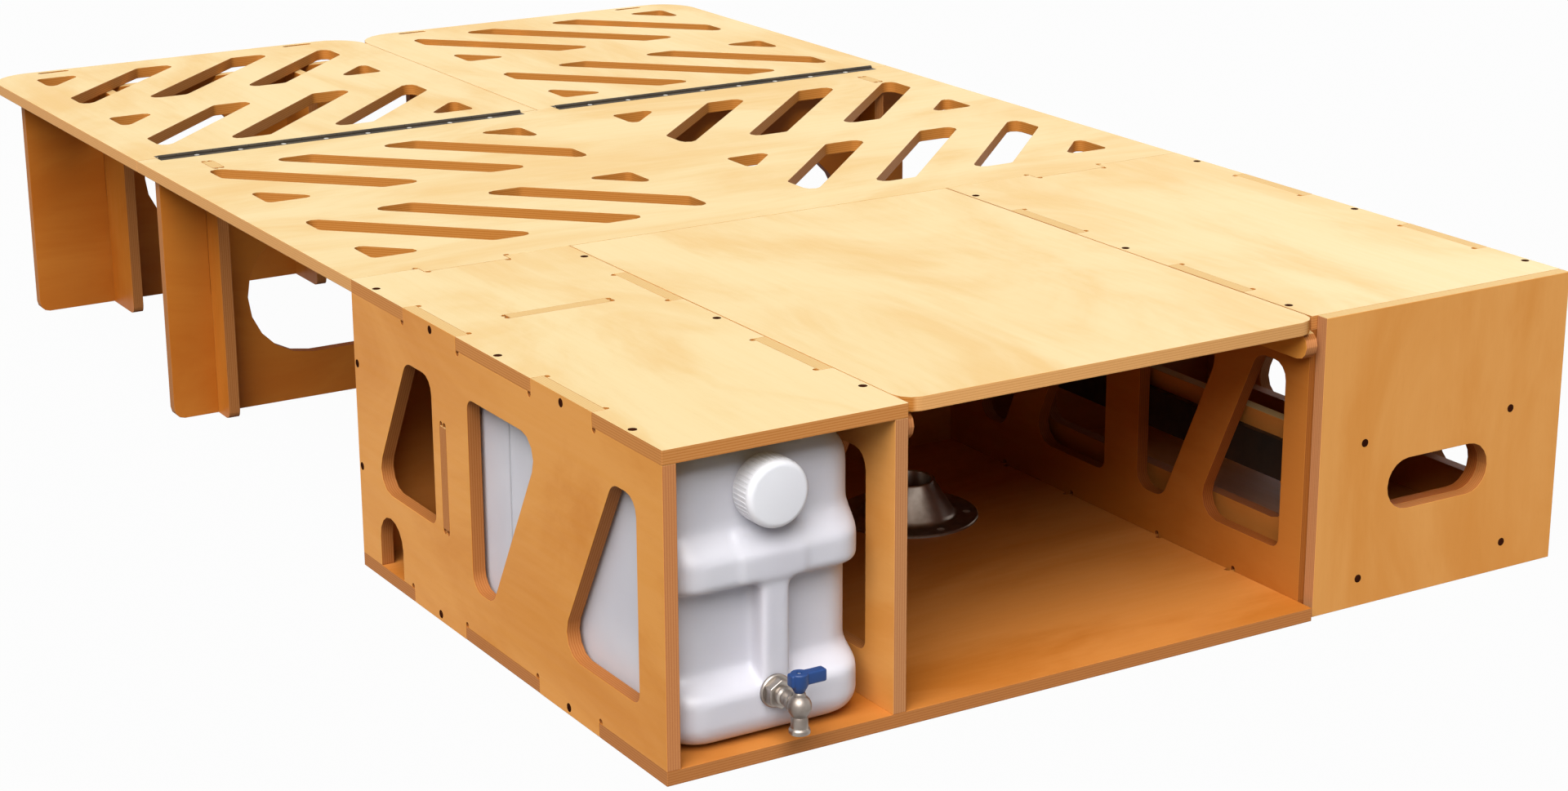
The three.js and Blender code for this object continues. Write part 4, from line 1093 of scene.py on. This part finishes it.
body_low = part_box("tap_body")[0]
ball_y = body_low.y + BALL * MM
tube = turned("tap_tube", TUBE_PROFILE, (tap_x, nut_high.y, tap_z), (0, -1, 0), steps=48)
arc = [(BALL * math.sin(a), BALL * math.cos(a)) for a in map(math.radians, BALL_ANGLES)]
spout_foot = (body_low.z - tap_z) / MM
mouth = [(radius, spout_foot + height) for radius, height in SPOUT_MOUTH]
spout = turned(
    "tap_casting", [*SPOUT_TOP, *arc, *SPOUT_WAIST, *mouth, *SPOUT_BORE], (tap_x, ball_y, tap_z),
)
unite(spout, tube)
shade(spout, TURNED_CRISP)
dress(spout, "canister", "tap_nickel", tap_nickel, "tap_body")
print("tap at", round(tap_x, 4), round(ball_y, 4), round(tap_z, 4))

# %% [markdown]
# The lever is a rounded plastic bar on a hub that narrows towards the ball. A screw in a small
# well holds it on the stem. Bar and hub could stay two pieces, but they are moulded as one, so
# they are joined and the well is carved out of both.

# %% Lever
LEVER_WIDTH, LEVER_HEIGHT, LEVER_TAIL, LEVER_EDGE = 11 * MM, 13 * MM, 11 * MM, 2.2 * MM
HUB_FOOT = [(0, 0), (4.6, 0), (5.4, 0.8)]
# The hub's upper part, with heights below its top.
HUB_TOP = [(9, -12), (9, -1), (8.2, 0), (0, 0)]
WELL_PROFILE = [(0, 0), (2.6, 0), (3, 6), (0, 6)]
WELL_DEPTH = 2 * MM


def carve(base, *cutters):
    for cutter in cutters:
        modify(base, "BOOLEAN", operation="DIFFERENCE", object=cutter, solver="EXACT")
        bpy.data.objects.remove(cutter)


lever_low, lever_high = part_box("tap_lever")
lever = boxed(
    "tap_handle", (tap_x - LEVER_TAIL, ball_y - LEVER_WIDTH / 2, lever_high.z - LEVER_HEIGHT),
    (lever_high.x, ball_y + LEVER_WIDTH / 2, lever_high.z), LEVER_EDGE, 4,
)
hub_height = (lever_high.z - lever_low.z) / MM
hub_top = [(radius, hub_height + height) for radius, height in HUB_TOP]
hub = turned("lever_hub", [*HUB_FOOT, *hub_top], (tap_x, ball_y, lever_low.z), steps=48)
well = turned("lever_well", WELL_PROFILE, (tap_x, ball_y, lever_high.z - WELL_DEPTH), steps=32)
unite(lever, hub)
carve(lever, well)
shade(lever, TURNED_CRISP)
dress(lever, "tap_lever", "lever_plastic", lever_plastic, "tap_lever")
print("lever is", round((lever_high.x - lever_low.x) / MM, 1), "mm long")

# %% [markdown]
# ## The table leg socket
# The cone is spun from sheet and polished: a thin flange, a soft foot, a straight cone and a
# rolled rim round the dark hole. A cone primitive with a ring on top would show a hard crease
# where they meet, so it is turned from one profile like the real one.

# %% Socket
# Radius and height, in millimetres.
SOCKET_PROFILE = [
    (82.5, 0), (82.5, 2), (81.4, 3), (60, 3), (57, 3.6), (54.6, 5.4), (53, 8.2), (32.2, 41), (31.8, 43.4),
    (30.6, 44.8), (29, 45), (27.6, 44.2), (27, 42.4), (24, 0),
]
socket_low, socket_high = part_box("table_leg_socket")
socket_middle = (socket_low + socket_high) / 2
socket_foot = (socket_middle.x, socket_middle.y, socket_low.z)
socket = turned("leg_socket", SOCKET_PROFILE, socket_foot, steps=96)
shade(socket, TURNED_CRISP)
dress(socket, "carcass", "socket_chrome", socket_chrome, "table_leg_socket")
print("socket at", tuple(round(x, 4) for x in socket_middle))

# %% [markdown]
# ## Piano hinges
# A piano hinge is two long leaves whose knuckles take turns on one thin pin. A leaf could be a
# strip with one long roll, but then the two rolls would lie in each other. The leaf is a strip
# let into the board, and one knuckle is turned and copied along it. The near leaf has the even
# knuckles and the far leaf the odd ones.

# %% Hinge leaves
SHEET_CRISP = 40
KNUCKLES = 21
KNUCKLE_RADIUS, KNUCKLE_BORE, KNUCKLE_EDGE, KNUCKLE_GAP = 3, 1.5, 0.3, 0.4
LEAF_WIDTH, LEAF_THICKNESS, LEAF_EDGE = 14 * MM, 1.4 * MM, 0.25 * MM
hinge_start = {side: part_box(f"{side}_hinge_pin")[0].x for side in ("left", "right")}
hinge_end = {side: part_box(f"{side}_hinge_pin")[1].x for side in ("left", "right")}
leaf_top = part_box("bed_near_panel")[1].z


def knuckle_profile(length):
    inner, outer = KNUCKLE_RADIUS - KNUCKLE_EDGE, KNUCKLE_RADIUS
    return [
        (KNUCKLE_BORE, 0), (inner, 0), (outer, KNUCKLE_EDGE), (outer, length - KNUCKLE_EDGE),
        (inner, length), (KNUCKLE_BORE, length),
    ]


def hinge_leaf(side, end, direction):
    node = f"{side}_hinge_{end}_leaf"
    low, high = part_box(node)
    radius = KNUCKLE_RADIUS * MM
    line_y = high.y - radius if direction < 0 else low.y + radius
    edges = sorted((line_y + direction * LEAF_WIDTH, line_y + direction * radius / 2))
    strip = boxed(
        f"{node}_plate", (low.x, edges[0], leaf_top - LEAF_THICKNESS), (high.x, edges[1], leaf_top),
        LEAF_EDGE, 2,
    )
    pitch = (hinge_end[side] - hinge_start[side]) / KNUCKLES
    knuckle = turned("knuckle", knuckle_profile(pitch / MM - KNUCKLE_GAP), steps=24)
    first_x = hinge_start[side] + KNUCKLE_GAP * MM / 2
    row = copies(knuckle, [
        facing(Vector((first_x + i * pitch, line_y, high.z - radius)), (1, 0, 0))
        for i in range(0 if direction < 0 else 1, KNUCKLES, 2)
    ])
    bpy.data.objects.remove(knuckle)
    start()
    row.select_set(True)
    strip.select_set(True)
    bpy.context.view_layer.objects.active = strip
    bpy.ops.object.join()
    leaf = settle(strip, f"{node}_strip")
    shade(leaf, SHEET_CRISP)
    dress(leaf, node_body[node], "hinge_steel", hinge_black, node)


for side in ("left", "right"):
    hinge_leaf(side, "near", -1)
    hinge_leaf(side, "far", 1)
print("hinge length:", round((hinge_end["left"] - hinge_start["left"]) / MM), "mm")

# %% [markdown]
# ## Screws
# The box is held by black countersunk screws, and the hinges by bright ones. Dark dots in the
# finish would do from far away, but a real head catches the light. One head is turned, its cross
# recess is carved, not so deep that the wood below shows through, and it is copied to every
# place. The heads of one body are joined, so that they move with it.

# %% Screw heads
SCREW_CRISP = 30
BOARD_SCREW, SMALL_SCREW = 4.6, 3.3
HEAD_PROUD, HEAD_SHOULDER, HEAD_EDGE, HEAD_SUNK = 0.35, 0.3, 0.05, 0.4
SHOULDER_SHARE, RECESS_SHARE = 0.8, 0.62
RECESS_HALF, RECESS_FLOOR, RECESS_OVER = 0.5, 0.12, 1


def screw_head(name, radius):
    """A countersunk head with a cross recess. Its face lies on z = 0 but for a slight dome."""
    head = turned(
        name,
        [(0, HEAD_PROUD), (radius * SHOULDER_SHARE, HEAD_SHOULDER), (radius, HEAD_EDGE),
         (radius, -HEAD_SUNK), (0, -HEAD_SUNK)],
        steps=24,
    )
    arm = radius * RECESS_SHARE
    carve(head, *(
        boxed("recess_bar", Vector((-x, -y, RECESS_FLOOR)) * MM, Vector((x, y, RECESS_OVER)) * MM)
        for x, y in ((arm, RECESS_HALF), (RECESS_HALF, arm))
    ))
    return shade(head, SCREW_CRISP)


def screws(name, head, places, body, slot, material):
    made = settle(copies(head, places), name)
    dress(made, body, slot, material)


board_screw = screw_head("board_screw", BOARD_SCREW)
small_screw = screw_head("small_screw", SMALL_SCREW)
print("screw head faces:", len(board_screw.data.polygons))

# %% [markdown]
# ### Screws of the boards
# The screws of the carcass go through the top and the bottom into the upright boards, and
# through the sides into the tops, the bottom and the back panel. Four more hold the drawer's
# front. They could be set into holes, but the frame's boards have none for them. So their
# places are written in plain millimetres from the front left bottom corner of the box, as a
# maker marks them out.

# %% Board screws
BOX_WIDTH, BOX_HEIGHT = 1150, 335
UPRIGHT_MIDDLES = (7.5, 262.5, 800, 1142.5)
SCREW_ROWS = (69, 351, 648)
SIDE_ROWS = (200, 497)
SIDE_INSET = 8
BACK_MIDDLE = 692.5
BACK_HEIGHTS = (120, 240)
DRAWER_FACE = 8
DRAWER_SCREWS = ((862.5, 187), (1074, 190), (863, 32), (1074, 33))
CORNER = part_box("left_side_panel")[0]


def spot(x, y, z, normal):
    """The place of a screw head that looks along a normal."""
    return facing(CORNER + Vector((x, y, z)) * MM, normal)


carcass_places = []
for x in UPRIGHT_MIDDLES:
    for y in SCREW_ROWS:
        carcass_places.append(spot(x, y, BOX_HEIGHT, (0, 0, 1)))
        carcass_places.append(spot(x, y, 0, (0, 0, -1)))
for x, normal in ((0, (-1, 0, 0)), (BOX_WIDTH, (1, 0, 0))):
    for y in SIDE_ROWS:
        carcass_places += [spot(x, y, z, normal) for z in (SIDE_INSET, BOX_HEIGHT - SIDE_INSET)]
    carcass_places += [spot(x, BACK_MIDDLE, z, normal) for z in BACK_HEIGHTS]
screws("carcass_screws", board_screw, carcass_places, "carcass", "hinge_steel", screw_black)
drawer_places = [spot(x, DRAWER_FACE, z, (0, -1, 0)) for x, z in DRAWER_SCREWS]
screws("drawer_front_screws", board_screw, drawer_places, "drawer", "hinge_steel", screw_black)
print("carcass screws:", len(carcass_places))

# %% [markdown]
# ### Bright screws
# The hinges have a row of small bright screws in each leaf, and the table socket a circle of
# larger ones in its flange. They follow from the hinges' and the socket's own sizes, so they are
# worked out and not listed. One more small screw lies in the well of the tap's lever.

# %% Hinge, socket and lever screws
HINGE_SCREWS = 8
HINGE_SCREW_INSET = 50 * MM
LEAF_MIDDLE = 8.4 * MM
PIN_RADIUS = 1.3 * MM
SOCKET_SCREWS = 6
SOCKET_CIRCLE = 69 * MM
SOCKET_FLANGE = 3 * MM
WELL_SCREW_DEPTH = 1.9 * MM

line_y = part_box("left_hinge_pin")[0].y + PIN_RADIUS
for side in ("left", "right"):
    run = hinge_end[side] - hinge_start[side] - 2 * HINGE_SCREW_INSET
    first_x = hinge_start[side] + HINGE_SCREW_INSET
    xs = [first_x + run * i / (HINGE_SCREWS - 1) for i in range(HINGE_SCREWS)]
    for end, direction in (("near", -1), ("far", 1)):
        row_y = line_y + direction * LEAF_MIDDLE
        screws(
            f"{side}_hinge_{end}_screws", small_screw,
            [facing(Vector((x, row_y, leaf_top)), (0, 0, 1)) for x in xs],
            node_body[f"{side}_hinge_{end}_leaf"], "pin_steel", steel_light,
        )

flange_middle = Vector((socket_middle.x, socket_middle.y, socket_low.z + SOCKET_FLANGE))
socket_places = []
for i in range(SOCKET_SCREWS):
    angle = (i + 0.5) * math.tau / SOCKET_SCREWS
    offset = Vector((math.cos(angle), math.sin(angle), 0)) * SOCKET_CIRCLE
    socket_places.append(facing(flange_middle + offset, (0, 0, 1)))
screws("socket_screws", board_screw, socket_places, "carcass", "socket_chrome", steel_light)
well_foot = Vector((tap_x, ball_y, lever_high.z - WELL_SCREW_DEPTH))
screws("lever_screw", small_screw, [facing(well_foot, (0, 0, 1))], "tap_lever", "pin_steel", steel_light)
bpy.data.objects.remove(board_screw)
bpy.data.objects.remove(small_screw)
print("hinge screws:", 4 * HINGE_SCREWS)

# %% [markdown]
# ## Slides and other small steel
# The drawer slides are bent from sheet. They could be drawn again from their section, but the frame
# already has the bends. So a copy of each keeps the frame's shape and gets rolled edges and a zinc finish
# that is painted dark as shade. The hinge pins and the tap's stem are right as they are, so they only get
# their metal.

# %% Slides, pins and stem
ROLLED_EDGE = 0.3 * MM

for node, slot in node_slot.items():
    if slot == "slide_steel":
        piece = merged_copy(node, f"{node}_rail")
        modify(piece, "BEVEL", width=ROLLED_EDGE, segments=2, limit_method="ANGLE")
        shade(piece, SHEET_CRISP)
        dress(piece, node_body[node], "slide_steel", shaded_slide_zinc, node)

for node, material in (
    ("left_hinge_pin", steel_light), ("right_hinge_pin", steel_light), ("tap_stem", tap_nickel),
):
    frame["nodes"][node].data.materials.clear()
    frame["nodes"][node].data.materials.append(material)
print("slides, pins and stem finished")

# %% [markdown]
# ## Stage
# The box stands on a plain pale floor, which keeps its soft shadow. The floor could be lit until
# it is white, but that light would bleach the box too. So the floor's own colour is moderate, and
# for rays that come straight from the camera, a mirror or glass a white glow is mixed in.

# %% Floor
FLOOR_SIZE = 40
FLOOR_DROP = 0.3 * MM
FLOOR_LIFT = 0.97
SPECKLE_WAVES = (40.0, 40.0, 40.0)
FLOOR_ROUGHNESS, FLOOR_SHINE = 0.9, 0.1
WHITE = (1, 1, 1, 1)


def seen_directly(tree):
    """1 for rays from the camera, a mirror or glass, and 0 for all others."""
    path = add_node(tree, "ShaderNodeLightPath").outputs
    rays = math_node(tree, "MAXIMUM", path["Is Camera Ray"], path["Is Glossy Ray"])
    return math_node(tree, "MAXIMUM", rays, path["Is Transmission Ray"])


start()
bpy.ops.mesh.primitive_plane_add(size=FLOOR_SIZE, location=(0, 0, -FLOOR_DROP))
floor = bpy.context.object
floor.name = "floor"
material, tree, shader, coordinates = new_material("pale_floor")
speckle = mix_colour(
    tree, noise(tree, coordinates["Object"], SPECKLE_WAVES), tint(122, 122, 121), tint(126, 126, 125),
)
tree.links.new(speckle, shader.inputs["Base Color"])
shader.inputs["Roughness"].default_value = FLOOR_ROUGHNESS
shader.inputs["Specular IOR Level"].default_value = FLOOR_SHINE
glow = add_node(tree, "ShaderNodeEmission", {"Color": WHITE, "Strength": 1.0})
lifted = math_node(tree, "MULTIPLY", seen_directly(tree), FLOOR_LIFT)
blend = add_node(
    tree, "ShaderNodeMixShader", {0: lifted, 1: shader.outputs[0], 2: glow.outputs[0]},
)
tree.links.new(blend.outputs[0], tree.nodes["Material Output"].inputs["Surface"])
floor.data.materials.append(material)
print("floor made")

# %% [markdown]
# The world is an even white room in the same way: white for the camera and for reflections, and
# almost dark for the light that falls on the box. A room as bright as it looks would be
# simpler, but it would wash out the shadows. Like this the lamps set how bright a colour
# renders, and metal still has something pale to mirror.

# %% World
WORLD_STRENGTH = 0.05

world = bpy.data.worlds.new("even_room")
world.use_nodes = True
bpy.context.scene.world = world
tree = world.node_tree
background = tree.nodes["Background"]
background.inputs["Color"].default_value = WHITE
strength = stretch(tree, seen_directly(tree), 0.0, 1.0, WORLD_STRENGTH, 1.0)
tree.links.new(strength, background.inputs["Strength"])
print("world strength on the box:", WORLD_STRENGTH)

# %% [markdown]
# The main lamp is one broad soft source, high in front and to the left, as the studio's was. From
# there it leaves the depths of the bays dark. A weaker one from behind and from the right fills
# the far sides of the box, which the photograph doesn't show. Area lamps could stand there too,
# but they grow weaker over the length of the bed, and a sun with a wide angle does not.

# %% Lamps
MAIN_SOURCE, MAIN_STRENGTH, MAIN_BREADTH = (-0.43, -0.44, 0.79), 5.5, 54
FILL_SOURCE, FILL_STRENGTH, FILL_BREADTH = (0.84, 0.34, 0.38), 1.1, 50


def softbox(name, source, strength, breadth):
    """A soft sun: where it shines from, how strong it is and how wide it looks, in degrees."""
    lamp = bpy.data.objects.new(name, bpy.data.lights.new(name, "SUN"))
    bpy.context.scene.collection.objects.link(lamp)
    lamp.data.energy = strength
    lamp.data.angle = math.radians(breadth)
    lamp.rotation_mode = "QUATERNION"
    lamp.rotation_quaternion = Vector(source).to_track_quat("Z", "Y")
    print(name, "strength", strength)


softbox("main_softbox", MAIN_SOURCE, MAIN_STRENGTH, MAIN_BREADTH)
softbox("fill_softbox", FILL_SOURCE, FILL_STRENGTH, FILL_BREADTH)

# %% [markdown]
# ## View transform
# The plain Standard view shows a colour as it is written. A filmic one could be used too, but it would
# bend the colours of the birch.

# %% Finish
bpy.context.scene.view_settings.view_transform = "Standard"
